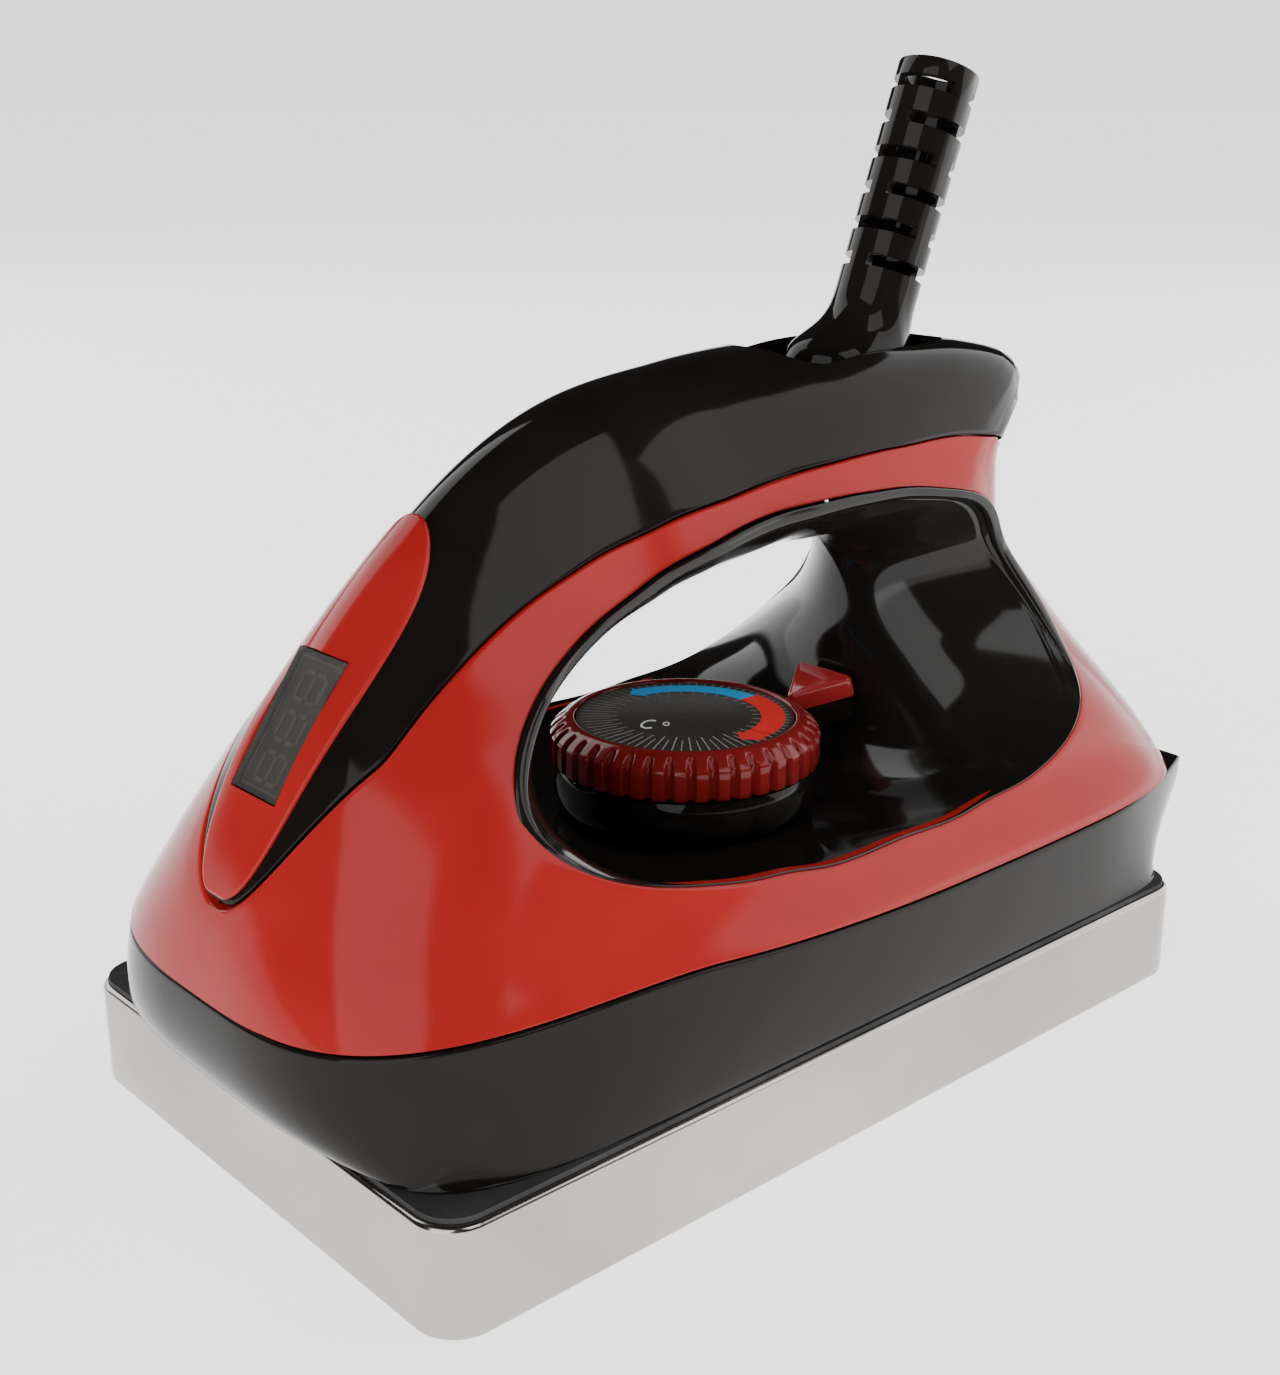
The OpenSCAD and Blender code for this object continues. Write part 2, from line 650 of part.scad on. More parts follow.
module power_triac() {
    color([0.1, 0.1, 0.1]) translate([6, -51.8, board_top + 3]) cube([10, 4.4, 14]);
}
module filter_capacitor() {
    color([0.15, 0.2, 0.45]) translate([-21, -46, board_top]) cylinder(h = 12, r = 5);
}
module temperature_sensor() {
    color([0.85, 0.85, 0.8])
    translate(concat(sensor_place, plate_t - 4.9)) cylinder(h = 10, r = sensor_r);
}
module sensor_clip() {
    color("silver")
    difference() {
        translate([sensor_place[0] - 10, sensor_place[1] - 3, chassis_z]) cube([20, 6, 0.6]);
        translate(concat(sensor_place, plate_t)) cylinder(h = 5, r = sensor_r + fit_gap);
    }
}
module thermal_fuse() {
    color([0.85, 0.75, 0.4])
    translate([14, 8, chassis_z + 2.1]) rotate([-90, 0, 0]) cylinder(h = 14, r = 2);
}
module ground_lug() {
    color("gold") translate([-14, 30, chassis_z]) difference() {
        union() {
            cylinder(h = 0.8, r = 4);
            translate([-1.5, 0, 0]) cube([3, 12, 0.8]);
        }
        translate([0, 0, -1]) cylinder(h = 3, r = 2.1);
    }
}

// Round wire through a few points, with balls at the bends
module wire(points, r) {
    for (k = [0 : len(points) - 2])
        let (d = points[k + 1] - points[k])
        translate(points[k])
            rotate([0, acos(d[2] / norm(d)), atan2(d[1], d[0])])
                cylinder(h = norm(d), r = r, $fn = 16);
    for (k = [1 : len(points) - 2]) translate(points[k]) sphere(1.1 * r, $fn = 16);
}
module mains_wires() {
    for (x = [-4, 0, 4])
        color(x < 0 ? "brown" : x > 0 ? "blue" : "green")
            wire([[x, 54, 55.5], [x, 53.9, 40], [x, 46, board_top + 0.9]], 1.1);
}
module heater_wires() {
    color("white")
    for (x = [-21, 21])
        wire([[x, 61, 25], [x, 56, 29.5], [x, 49, board_top + 1.3]], 1.1);
}

// ---------------------------------------------------------------- cord entry
guard_pivot = [0, 40, 99.5];
ball_r = 9.8;
ball_reach = 3.5;
ball_half_w = 8;
sleeve_bore_r = sleeve_r - 1.4;
collar_top = 17.6;
slot_pitch = 5.75;
slot_h = 2;
bridge_half_w = 1.7;
sleeve_top = collar_top + slot_pitch * (slot_rows - 1) + slot_h + 3;
pin_r = 2;
module guard_frame() {
    translate(guard_pivot) rotate([-guard_lean, 0, 0]) children();
}
// A row of two slots, which leaves a narrow bridge on either side
module slot_row(z, turn) {
    rotate([0, 0, turn]) for (side = [0, 180]) rotate([0, 0, side])
        translate([bridge_half_w, -2 * sleeve_r, z]) cube([2 * sleeve_r, 4 * sleeve_r, slot_h]);
}
module cord_guard() {
    color([0.08, 0.08, 0.08])
    guard_frame() difference() {
        union() {
            intersection() {
                union() {
                    sphere(ball_r);
                    translate([0, -ball_reach, 0]) sphere(ball_r);
                    translate([0, -ball_reach, 0]) rotate([-90, 0, 0]) cylinder(h = ball_reach, r = ball_r);
                }
                translate([-ball_half_w, -2 * ball_r, -6]) cube([2 * ball_half_w, 4 * ball_r, 30]);
            }
            translate([0, 0, 5]) cylinder(h = 7, r1 = 8.4, r2 = sleeve_r);
            cylinder(h = sleeve_top, r = sleeve_r);
        }
        translate([0, 0, -ball_r]) cylinder(h = sleeve_top + 20, r = cord_bore_r);
        translate([0, 0, collar_top]) cylinder(h = sleeve_top, r = sleeve_bore_r);
        for (k = [0 : slot_rows - 1]) slot_row(collar_top + slot_pitch * k, 90 * (k % 2));
        for (x = [-12, 6]) translate([x, 0, 0]) rotate([0, 90, 0]) cylinder(h = 6, r = pin_r + 0.02);
    }
}
module guard_pin() {
    color("silver")
    guard_frame() for (x = [-10.9, 6.2])
        translate([x, 0, 0]) rotate([0, 90, 0]) cylinder(h = 4.7, r = pin_r);
}
module guard_socket() {
    color([0.1, 0.1, 0.1])
    translate(guard_pivot) difference() {
        union() {
            for (x = [-11, ball_half_w + 0.4])
                translate([x, -4.5, -13]) cube([2.6, 9, 15]);
            translate([-11, -27, -13.5]) cube([22, 44, 2.6]);
        }
        translate([-15, 0, 0]) rotate([0, 90, 0]) cylinder(h = 30, r = pin_r + fit_gap);
        translate([0, 0, -20]) cylinder(h = 12, r = cord_bore_r + 1);
    }
}

// Boat-shaped recess in the handle's top that the ball and the sleeve swing in
module guard_slot() {
    slot_r = ball_r + 0.5;
    reach_ahead = 15;
    reach_back = 6;
    translate([0, guard_pivot[1], guard_pivot[2] - 6]) {
        for (y = [-reach_ahead, reach_back]) translate([0, y, 0]) cylinder(h = 20, r = slot_r);
        translate([-slot_r, -reach_ahead, 0]) cube([2 * slot_r, reach_ahead + reach_back, 20]);
    }
}
module cord_clamp() {
    color([0.12, 0.12, 0.12])
    translate([0, 49, 77]) difference() {
        translate([-7.5, -5, 0]) cube([15, 10, 7]);
        translate([0, 0, -1]) cylinder(h = 10, r = cord_bore_r - 0.1);
        for (x = [-5.7, 5.7])
            translate([x, -6, 3.5]) rotate([-90, 0, 0]) cylinder(h = 12, r = 1.2 + fit_gap);
    }
}
module clamp_screws() {
    color("silver")
    for (x = [-5.7, 5.7])
        translate([x, 44 - fit_gap, 80.5]) rotate([90, 0, 0]) pan_screw(1.2, 9, 1.7, 1.2);
}
module terminal_block() {
    color([0.8, 0.8, 0.76])
    translate([-8, 46, 56]) difference() {
        cube([16, 11, 16]);
        for (x = [3, 8, 13]) translate([x, 5.5, -1]) cylinder(h = 12, r = 1.5);
    }
}

// ---------------------------------------------------------------- rear cover screws
rear_screw_angles = [357, 7];
module rear_cover_screws() {
    color("silver")
    for (a = rear_screw_angles) on_centre_line(a)
        translate([0, 0, -wall + 0.3]) pan_screw(1.5, 9, 2.8, 1.6);
}

base_plate();
heating_element();
element_terminals();
heat_gasket();
chassis_frame();
plate_screws();
lower_skirt();
main_shell();
handle_cover();
rear_cover();
rear_cover_screws();
heel_tray();
grip_liner();
dial_pedestal();
dial_knob();
dial_face();
dial_shaft();
shaft_clip();
potentiometer();
indicator_lens();
lens_holder();
indicator_led();
display_bezel();
display_window();
display_module();
display_board();
control_board();
board_standoffs();
board_screws();
power_triac();
triac_heatsink();
filter_capacitor();
temperature_sensor();
sensor_clip();
thermal_fuse();
cord_guard();
guard_pin();
guard_socket();
cord_clamp();
clamp_screws();
terminal_block();
mains_wires();
heater_wires();
ribbon_cable();
ground_lug();
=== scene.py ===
"""Looks of the electric waxing iron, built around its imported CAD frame.

Lengths are in millimetres until a mesh is made, then in metres. The nose points along -Y.
The moulded covers share one body surface, which is polar about a hub in the hand opening.
"""
import math

import bmesh
import bpy
import numpy as np
from mathutils import Matrix, Vector


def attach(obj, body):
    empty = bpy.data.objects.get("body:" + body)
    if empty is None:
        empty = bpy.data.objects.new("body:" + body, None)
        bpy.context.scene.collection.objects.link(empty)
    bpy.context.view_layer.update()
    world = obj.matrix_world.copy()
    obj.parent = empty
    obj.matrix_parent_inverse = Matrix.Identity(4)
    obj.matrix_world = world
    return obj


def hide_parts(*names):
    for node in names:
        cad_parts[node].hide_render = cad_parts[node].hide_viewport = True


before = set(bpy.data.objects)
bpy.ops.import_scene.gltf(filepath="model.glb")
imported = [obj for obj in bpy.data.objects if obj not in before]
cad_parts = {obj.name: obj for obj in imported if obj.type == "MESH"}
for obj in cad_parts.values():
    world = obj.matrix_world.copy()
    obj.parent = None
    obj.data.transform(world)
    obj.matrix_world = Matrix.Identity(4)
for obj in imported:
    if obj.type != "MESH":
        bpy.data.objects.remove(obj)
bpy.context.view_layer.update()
MM = 0.001


# -------- body surface
# Control points of the body in side view are [y, z]; they are those of the CAD model.
HUB = np.array([5.0, 65.0])
PROFILE_POINTS = [
    (65.5, 75), (62.5, 82), (61.5, 88), (63, 93), (67.5, 96.5), (69, 100), (66, 103.5),
    (58, 105.5), (40, 107), (20, 107.5), (0, 106.5), (-18, 104), (-43.5, 91.5), (-61, 74),
    (-72.5, 57), (-79, 44), (-83, 32), (-84, 20), (-76, 0), (-45, -22), (5, -30), (50, -20),
    (85, 10), (87.5, 33), (83, 47), (75, 62),
]
RIM_POINTS = [
    (59, 69), (53, 79), (49, 83), (38, 85.5), (22, 87), (8, 86.7), (-8, 84.2), (-23, 79.8),
    (-34, 75), (-42, 70), (-48.5, 64), (-51.5, 59), (-51, 54.5), (-47, 50.5), (-39.5, 47.4),
    (-27, 44.4), (-12, 42.3), (8, 41.4), (27, 42), (42, 43.5), (52.5, 47), (58.5, 52), (61, 59),
]
WAIST_POINTS = [
    (37.5, 72), (33, 76), (20, 76.5), (5, 75.5), (-8, 73), (-21, 69), (-32, 63.5), (-37.5, 57.5),
    (-39.5, 51), (-37, 43.5), (-27, 38), (-8, 36), (5, 36), (20, 36), (30, 37.5), (36, 42),
    (38, 50), (38, 60),
]
COVER_SEAM_POINTS = [
    (57.5, 91), (50.5, 92), (31.5, 92.5), (14.7, 91.6), (-1.5, 89.5), (-16.5, 87), (-30, 83.2),
    (-40, 79), (-49.5, 73.5), (-56, 69), (-62, 64), (-67.7, 59), (-73, 53.3), (-77, 47.6),
    (-79.2, 43.5),
]
SIDE_WIDTHS = [
    (0, 46), (20, 46), (33, 45.3), (40, 41.5), (48, 38.5), (62, 34), (75, 26.5), (87, 20.5),
    (97, 18), (110, 17),
]
SECTION_EXPONENTS = [
    (0, 2.7), (14, 3), (22, 5), (30, 6.5), (40, 6), (52, 4.4), (66, 3.2), (90, 2.4), (130, 2.1),
    (160, 1.9), (172, 2), (182, 2.25), (190, 2.65), (198, 3.2), (206, 3.75), (216, 4.1), (240, 4.1),
    (300, 4), (320, 5), (337, 6.5), (350, 3.2),
]


def angle_of(y, z):
    """Angle about the hub, in degrees from 0 to 360."""
    return math.degrees(math.atan2(z - HUB[1], y - HUB[0])) % 360


class Curve:
    """Smooth curve through a table of (x, y), softened over a given width."""

    def __init__(self, table, period=None, soften=0.0, step=0.25):
        x = np.array([p[0] for p in table], float)
        y = np.array([p[1] for p in table], float)
        if period:
            x = np.concatenate([x - period, x, x + period])
            y = np.tile(y, 3)
        slope = np.gradient(y, x)
        slope[1:-1] = (y[2:] - y[:-2]) / (x[2:] - x[:-2])
        self.x = np.arange(x[0], x[-1] + step, step)
        k = np.clip(np.searchsorted(x, self.x, side="right") - 1, 0, len(x) - 2)
        h = x[k + 1] - x[k]
        s = np.clip((self.x - x[k]) / h, 0, 1)
        self.y = ((2 * s**3 - 3 * s**2 + 1) * y[k] + (s**3 - 2 * s**2 + s) * h * slope[k]
                  + (3 * s**2 - 2 * s**3) * y[k + 1] + (s**3 - s**2) * h * slope[k + 1])
        if soften:
            reach = int(3 * soften / step)
            kernel = np.exp(-0.5 * (np.arange(-reach, reach + 1) * step / soften) ** 2)
            padded = np.pad(self.y, reach, mode="reflect", reflect_type="odd")
            self.y = np.convolve(padded, kernel / kernel.sum(), mode="valid")

    def __call__(self, x):
        return np.interp(x, self.x, self.y)


def polar(points, closed=True, soften=1.2):
    """Curve of the distance from the hub against the angle about it."""
    table = sorted((angle_of(y, z), math.hypot(y - HUB[0], z - HUB[1])) for y, z in points)
    return Curve(table, 360 if closed else None, soften)


profile = polar(PROFILE_POINTS, soften=1.0)
rim = polar(RIM_POINTS, soften=3.0)
waist = polar(WAIST_POINTS, soften=3.0)
cover_seam = polar(COVER_SEAM_POINTS, closed=False, soften=1.5)
exponent = Curve(SECTION_EXPONENTS, 360, soften=4.0)
side_width = Curve(SIDE_WIDTHS, soften=2.0)

WALL = 2.2
SEAM_GAP = 0.15
SEAM_EDGE_R = 0.4
LIP = 2.2
SPINE_HALF_W = 12.5


def body_point(a, phi, inset=0.0, level=0.0):
    """Points of the body at angles a about the hub and phi round the section, moved inwards."""
    a = np.asarray(a, float) % 360
    phi = np.radians(phi)
    c = np.clip(np.cos(phi), 0, 1)
    s = np.clip(np.sin(phi), 0, 1)
    n = exponent(a)
    top = profile(a)
    r = top * c ** (2 / n)
    w = side_width(HUB[1] + r * np.sin(np.radians(a)))
    x = w * s ** (2 / n)
    slant_x = s ** (2 - 2 / n) / w
    slant_r = c ** (2 - 2 / n) / top
    size = np.hypot(slant_x, slant_r)
    x = x - inset * slant_x / size
    r = r - inset * slant_r / size * (1 - level)
    return np.stack(np.broadcast_arrays(
        x, HUB[0] + r * np.cos(np.radians(a)), HUB[1] + r * np.sin(np.radians(a))), axis=-1)


def phi_of(a, r):
    """phi at which the body's section is at distance r from the hub, measured in side view."""
    a = a % 360
    return np.degrees(np.arccos(np.clip(r / profile(a), 0, 1) ** (exponent(a) / 2)))


def phi_at_width(a, x):
    """phi at which the body's section is x away from the centre plane, near the centre line."""
    a = a % 360
    w = side_width(HUB[1] + profile(a) * np.sin(np.radians(a)))
    return np.degrees(np.arcsin(np.clip(x / w, 0, 1) ** (exponent(a) / 2)))


SEAM_LOW_Z = 33
SEAM_LOW_Y = 20
SEAM_RISE_LENGTH = 60
SEAM_DIP = 10.7
SEAM_DIP_FROM = -30
SEAM_DIP_LENGTH = 52.7
SEAM_DIP_POWER = 1.7


def seam_z(y):
    """Height of the skirt's seam: up ahead of and behind SEAM_LOW_Y, and down again at the nose."""
    rise = np.where(y < SEAM_LOW_Y, 3.4, 1.0)
    dip = SEAM_DIP * (np.maximum(SEAM_DIP_FROM - y, 0) / SEAM_DIP_LENGTH) ** SEAM_DIP_POWER
    return SEAM_LOW_Z + rise * ((y - SEAM_LOW_Y) / SEAM_RISE_LENGTH) ** 2 - dip


# Angles about the hub where the covers begin and end. Below SPINE_UP_TO the seam leaves room
# for the black spine at the rear.
NECK_ANGLE = 25.3
TONGUE_ANGLE = angle_of(*COVER_SEAM_POINTS[-1])
NOSE_Y = -82.9
NOSE_ANGLE = angle_of(NOSE_Y, float(seam_z(NOSE_Y)))
HEEL_Y = 87.1
HEEL_ANGLE = angle_of(HEEL_Y, float(seam_z(HEEL_Y)))
SPINE_UP_TO = 45.0
TONGUE_TIP_R = 6
TIP_SCALE = float(profile(TONGUE_ANGLE)) * math.pi / 180


def tip_angle(gap):
    """Angle of the tongue's tip, moved outwards by the gap."""
    return TONGUE_ANGLE - gap / TIP_SCALE


def cover_phi(a, gap):
    """phi of the cover's edge: its seam, which closes at the nose in a round tongue."""
    from_tip = max(tip_angle(gap) - a, 0) * TIP_SCALE
    half_w = math.sqrt(2 * TONGUE_TIP_R * from_tip) - gap * min(from_tip / TONGUE_TIP_R, 1)
    return min(float(phi_of(a, cover_seam(a) + gap)), float(phi_at_width(a, half_w)))


def seam_positions(steps):
    """y from nose to heel along the skirt's seam, closer together at both ends."""
    turns = np.cos(np.pi * np.arange(steps + 1) / steps)
    return (NOSE_Y + HEEL_Y) / 2 - (HEEL_Y - NOSE_Y) / 2 * turns


# -------- mesh making
SHARP_ANGLE = 35.0
MERGE_DISTANCE = 1e-6


def make_object(name, verts, faces, sharp_angle=SHARP_ANGLE):
    """Mesh object from points in millimetres, smooth shaded except at sharp edges."""
    mesh = bpy.data.meshes.new(name)
    mesh.from_pydata((np.asarray(verts, float) * MM).tolist(), [], faces)
    build = bmesh.new()
    build.from_mesh(mesh)
    bmesh.ops.remove_doubles(build, verts=build.verts, dist=MERGE_DISTANCE)
    bmesh.ops.recalc_face_normals(build, faces=build.faces)
    build.to_mesh(mesh)
    build.free()
    mesh.shade_smooth()
    mesh.set_sharp_from_angle(angle=math.radians(sharp_angle))
    obj = bpy.data.objects.new(name, mesh)
    bpy.context.scene.collection.objects.link(obj)
    return obj


def grid_faces(rows, columns, start=0, closed_rows=False, closed_columns=False, flip=False):
    """Quads of a grid whose first vertex is start, stored row by row."""
    faces = []
    for i in range(rows if closed_rows else rows - 1):
        for j in range(columns if closed_columns else columns - 1):
            i2, j2 = (i + 1) % rows, (j + 1) % columns
            quad = [start + i * columns + j, start + i2 * columns + j,
                    start + i2 * columns + j2, start + i * columns + j2]
            faces.append(quad[::-1] if flip else quad)
    return faces


def capped_faces(rows, columns):
    """Faces of rings stacked in rows, with a flat cap on the first and the last ring."""
    faces = grid_faces(rows, columns, closed_columns=True)
    faces.append(list(range(columns)))
    faces.append(list(range((rows - 1) * columns, rows * columns)))
    return faces


def sheet(name, outer, inner, closed=False):
    """Solid between two grids of the same shape. closed joins its last row to its first."""
    n, m = outer.shape[:2]
    verts = np.concatenate([outer.reshape(-1, 3), inner.reshape(-1, 3)])
    faces = grid_faces(n, m, 0, closed) + grid_faces(n, m, n * m, closed, flip=True)
    steps = n if closed else n - 1
    for i in range(steps):
        i2 = (i + 1) % n
        for j, turn in ((0, 1), (m - 1, -1)):
            faces.append([i * m + j, n * m + i * m + j, n * m + i2 * m + j, i2 * m + j][::turn])
    if not closed:
        for i, turn in ((0, -1), (n - 1, 1)):
            for j in range(m - 1):
                faces.append([i * m + j, n * m + i * m + j, n * m + i * m + j + 1,
                              i * m + j + 1][::turn])
    return make_object(name, verts, faces)


def roll(distance, radius):
    """How far a rounded edge falls away, at a distance from the edge."""
    d = np.clip(distance, 0, radius)
    return radius - np.sqrt(np.maximum(radius**2 - (radius - d) ** 2, 0))


def distance_along(points):
    """Distance along a polyline from its first point to each of its points."""
    return np.concatenate([[0], np.cumsum(np.linalg.norm(np.diff(points, axis=0), axis=1))])


EDGE_SPACING = np.array([0, 0.03, 0.12, 0.3, 0.6, 1.0])
TRIAL_POINTS = 90


def row_samples(a, phi0, phi1, columns, roll0, roll1):
    """phi values along one row, closer together at rounded ends, and their distances from them."""
    phi = np.linspace(phi0, phi1, TRIAL_POINTS)
    points = body_point(a, np.abs(phi))
    points[:, 0] *= np.sign(phi + 1e-12)
    s = distance_along(points)
    length = s[-1]
    low = min(roll0, length / 4) * EDGE_SPACING
    high = length - min(roll1, length / 4) * EDGE_SPACING[::-1]
    middle = np.linspace(low[-1], high[0], columns + 2)[1:-1]
    d = np.concatenate([low, middle, high])
    return np.interp(d, s, phi), d, length - d


def finish_piece(obj, material, slot_name, *nodes, body="housing"):
    """Gives a piece its material and body. slot_name is not used. nodes are the CAD nodes that it stands
    for.
    """
    obj.data.materials.clear()
    obj.data.materials.append(material)
    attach(obj, body)
    if nodes:
        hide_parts(*nodes)


# -------- moulded covers
RIM_EDGE_R = 0.5


def shell_stations():
    """(angle, phi of the outer edge, is it on the centre line) round the red shell."""
    top_steps, nose_steps, skirt_steps, rear_steps = 140, 12, 150, 40
    stations = []
    tip = tip_angle(-SEAM_GAP)
    for k in range(top_steps):
        a = tip + (NECK_ANGLE - tip) * (1 - k / top_steps) ** 2
        phi = cover_phi(a, -SEAM_GAP)
        if a < SPINE_UP_TO:
            phi = max(phi, phi_at_width(a, SPINE_HALF_W + SEAM_GAP))
        stations.append((a, float(phi), False))
    for a in np.linspace(tip, NOSE_ANGLE, nose_steps):
        stations.append((a, 0.0, True))
    for y in seam_positions(skirt_steps)[1:]:
        z = float(seam_z(y)) + SEAM_GAP
        a = angle_of(y, z)
        phi = phi_of(a, math.hypot(y - HUB[0], z - HUB[1]))
        if y > 0:
            phi = max(phi, phi_at_width(a, SPINE_HALF_W + SEAM_GAP))
        stations.append((a, float(phi), False))
    for a in np.linspace(HEEL_ANGLE, 360 + NECK_ANGLE, rear_steps + 1)[1:-1]:
        stations.append((a, float(phi_at_width(a, SPINE_HALF_W + SEAM_GAP)), False))
    return stations


def main_shell():
    """Red shell: two mirrored halves that join at the nose, open inside the rim."""
    columns = 34
    outer, inner = [], []
    for a, phi0, centred in shell_stations():
        rim_phi = phi_of(a, rim(a % 360))
        seam_r = 0.0 if centred else SEAM_EDGE_R
        phi, d0, d1 = row_samples(a, phi0, rim_phi, columns, seam_r, RIM_EDGE_R)
        edge = np.maximum(roll(d0, seam_r), roll(d1, RIM_EDGE_R))
        t = d0 / (d0[-1] + 1e-9)
        outer.append(body_point(a, phi, edge))
        inner.append(body_point(a, phi, WALL, t))
    outer, inner = np.array(outer), np.array(inner)
    n, m = outer.shape[:2]
    verts, faces = [], []
    for side in (1, -1):
        start = len(verts) * n * m
        half = [outer * [side, 1, 1], inner * [side, 1, 1]]
        verts += [g.reshape(-1, 3) for g in half]
        faces += grid_faces(n, m, start, True, flip=side < 0)
        faces += grid_faces(n, m, start + n * m, True, flip=side > 0)
        for i in range(n):
            i2 = (i + 1) % n
            for j in (0, m - 1):
                on_centre = abs(outer[i, j, 0]) < 1e-6 and abs(outer[i2, j, 0]) < 1e-6
                if not on_centre:
                    faces.append([start + i * m + j, start + n * m + i * m + j,
                                  start + n * m + i2 * m + j, start + i2 * m + j])
    return make_object("red_shell", np.concatenate(verts), faces)


def band(name, stations, columns, depth, low_depth, edge=SEAM_EDGE_R):
    """Band of the body between -phi and phi at each station, with rounded edges."""
    along = distance_along(np.array([body_point(a, 0.0) for a, _ in stations]))
    outer, inner = [], []
    for (a, phi_edge), s in zip(stations, along):
        phi, d0, d1 = row_samples(a, -phi_edge, phi_edge, columns, edge, edge)
        d = np.minimum(np.minimum(d0, d1), min(s, along[-1] - s))
        sign = np.where(phi < 0, -1.0, 1.0)[:, None] * [1, 0, 0] + [0, 1, 1]
        outer.append(body_point(a, np.abs(phi), depth + roll(d, edge)) * sign)
        inner.append(body_point(a, np.abs(phi), low_depth) * sign)
    return sheet(name, np.array(outer), np.array(inner))


def cover_stations():
    """(angle, phi of the edge) from the neck to the tongue's tip, closer together at both."""
    steps = 160
    rolled = np.array([0, 0.02, 0.06, 0.13, 0.25, 0.4]) / 60
    shares = np.concatenate([rolled, np.linspace(rolled[-1], 1, steps)[1:-1]])
    neck = NECK_ANGLE + 0.1
    tip = tip_angle(SEAM_GAP)
    stations = []
    for t in shares:
        a = tip + (neck - tip) * (1 - t) ** 2
        phi = cover_phi(a, SEAM_GAP)
        if a < SPINE_UP_TO:
            phi = max(phi, phi_at_width(a, SPINE_HALF_W - SEAM_GAP))
        stations.append((a, float(phi)))
    return stations


def rear_stations():
    """(angle, phi of the edge) of the black spine, from the heel up to the neck."""
    stations = []
    for a in np.linspace(HEEL_ANGLE + 1, 359.5 + NECK_ANGLE, 60):
        stations.append((a, float(phi_at_width(a, SPINE_HALF_W - SEAM_GAP))))
    return stations


BEZEL_FROM = 153.3
BEZEL_TO = 193.3
BEZEL_WIDTH = 15.3
BEZEL_PROUD = 0.9


def bezel_stations():
    """(angle, phi of the edge) of the leaf-shaped bezel, widest a little below its middle."""
    steps = 70
    tip_share = 0.0002
    stations = []
    for k in range(steps + 1):
        eased = (1 - math.cos(math.radians(180 * k / steps))) / 2
        t = eased * (1 - 2 * tip_share) + tip_share
        a = BEZEL_FROM + (BEZEL_TO - BEZEL_FROM) * t
        half_w = BEZEL_WIDTH * math.sqrt(t) * (1 - t) ** (1 / 3)
        stations.append((a, float(phi_at_width(a, half_w))))
    return stations


def on_centre_line(a):
    """Matrix, in millimetres, that turns +Z to the outward normal at angle a, and +Y up the slope."""
    p = body_point(a, 0.0)
    ahead = body_point(a - 1, 0.0) - body_point(a + 1, 0.0)
    tilt = math.atan2(ahead[2], ahead[1])
    return Matrix.Translation(Vector(p)) @ Matrix.Rotation(tilt, 4, "X")


WINDOW_W = 10.6
WINDOW_L = 20.2
DISPLAY_ANGLE = 179.3
display_place = on_centre_line(DISPLAY_ANGLE)


def placed(verts, place):
    return [place @ Vector(v) for v in verts]


BOX_FACES = [(0, 1, 3, 2), (4, 6, 7, 5), (0, 4, 5, 1), (2, 3, 7, 6), (0, 2, 6, 4), (1, 5, 7, 3)]


def boxes(name, corner_pairs, places):
    """One mesh of boxes, each between a low and a high corner, and each with its own place."""
    verts, faces = [], []
    for (low, high), place in zip(corner_pairs, places):
        faces += [[len(verts) + v for v in face] for face in BOX_FACES]
        corners = [(x, y, z) for x in (low[0], high[0]) for y in (low[1], high[1])
                   for z in (low[2], high[2])]
        verts += placed(corners, place)
    return make_object(name, verts, faces)


def cut(obj, cutter):
    """Takes the cutter's volume out of obj, and deletes the cutter."""
    modifier = obj.modifiers.new("cut", "BOOLEAN")
    modifier.operation = "DIFFERENCE"
    modifier.solver = "EXACT"
    modifier.object = cutter
    graph = bpy.context.evaluated_depsgraph_get()
    mesh = bpy.data.meshes.new_from_object(obj.evaluated_get(graph))
    obj.modifiers.clear()
    old = obj.data
    obj.data = mesh
    bpy.data.meshes.remove(old)
    bpy.data.objects.remove(cutter)
    mesh.shade_smooth()
    mesh.set_sharp_from_angle(angle=math.radians(SHARP_ANGLE))


def window_cutter(margin):
    """Box through the covers at the display, wider than the window by the margin all round."""
    half = (WINDOW_W / 2 + margin, WINDOW_L / 2 + margin, 10)
    return boxes("window_cutter", [([-h for h in half], half)], [display_place])


GUARD_PIVOT = np.array([0, 40, 99.5])
BALL_R = 9.8
SLOT_R = BALL_R + 0.5
SLOT_AHEAD = 15
SLOT_BACK = 6
SLOT_EDGE_DROP = 0.7
SCOOP_OVERLAP = 0.8


def stadium(half_w, ahead, back):
    """Outline of the guard's slot: two half circles joined by straight sides."""
    steps = 64
    points = []
    for k in range(steps):
        t = 2 * math.pi * (k + 0.5) / steps
        y = half_w * math.sin(t) + (back if math.sin(t) > 0 else -ahead)
        points.append((half_w * math.cos(t), y))
    return points


def slot_cutter():
    """Upright prism of the guard's slot, through the handle's top."""
    outline = stadium(SLOT_R, SLOT_AHEAD, SLOT_BACK)
    verts = [(x, GUARD_PIVOT[1] + y, GUARD_PIVOT[2] + z) for z in (-6, 14) for x, y in outline]
    return make_object("slot_cutter", verts, capped_faces(2, len(outline)))


def top_z(x, y):
    """Height of the handle's top surface, by a few steps from a first guess."""
    z = 104.0
    for _ in range(6):
        a = angle_of(y, z)
        z = float(body_point(a, phi_at_width(a, abs(x)))[2])
    return z


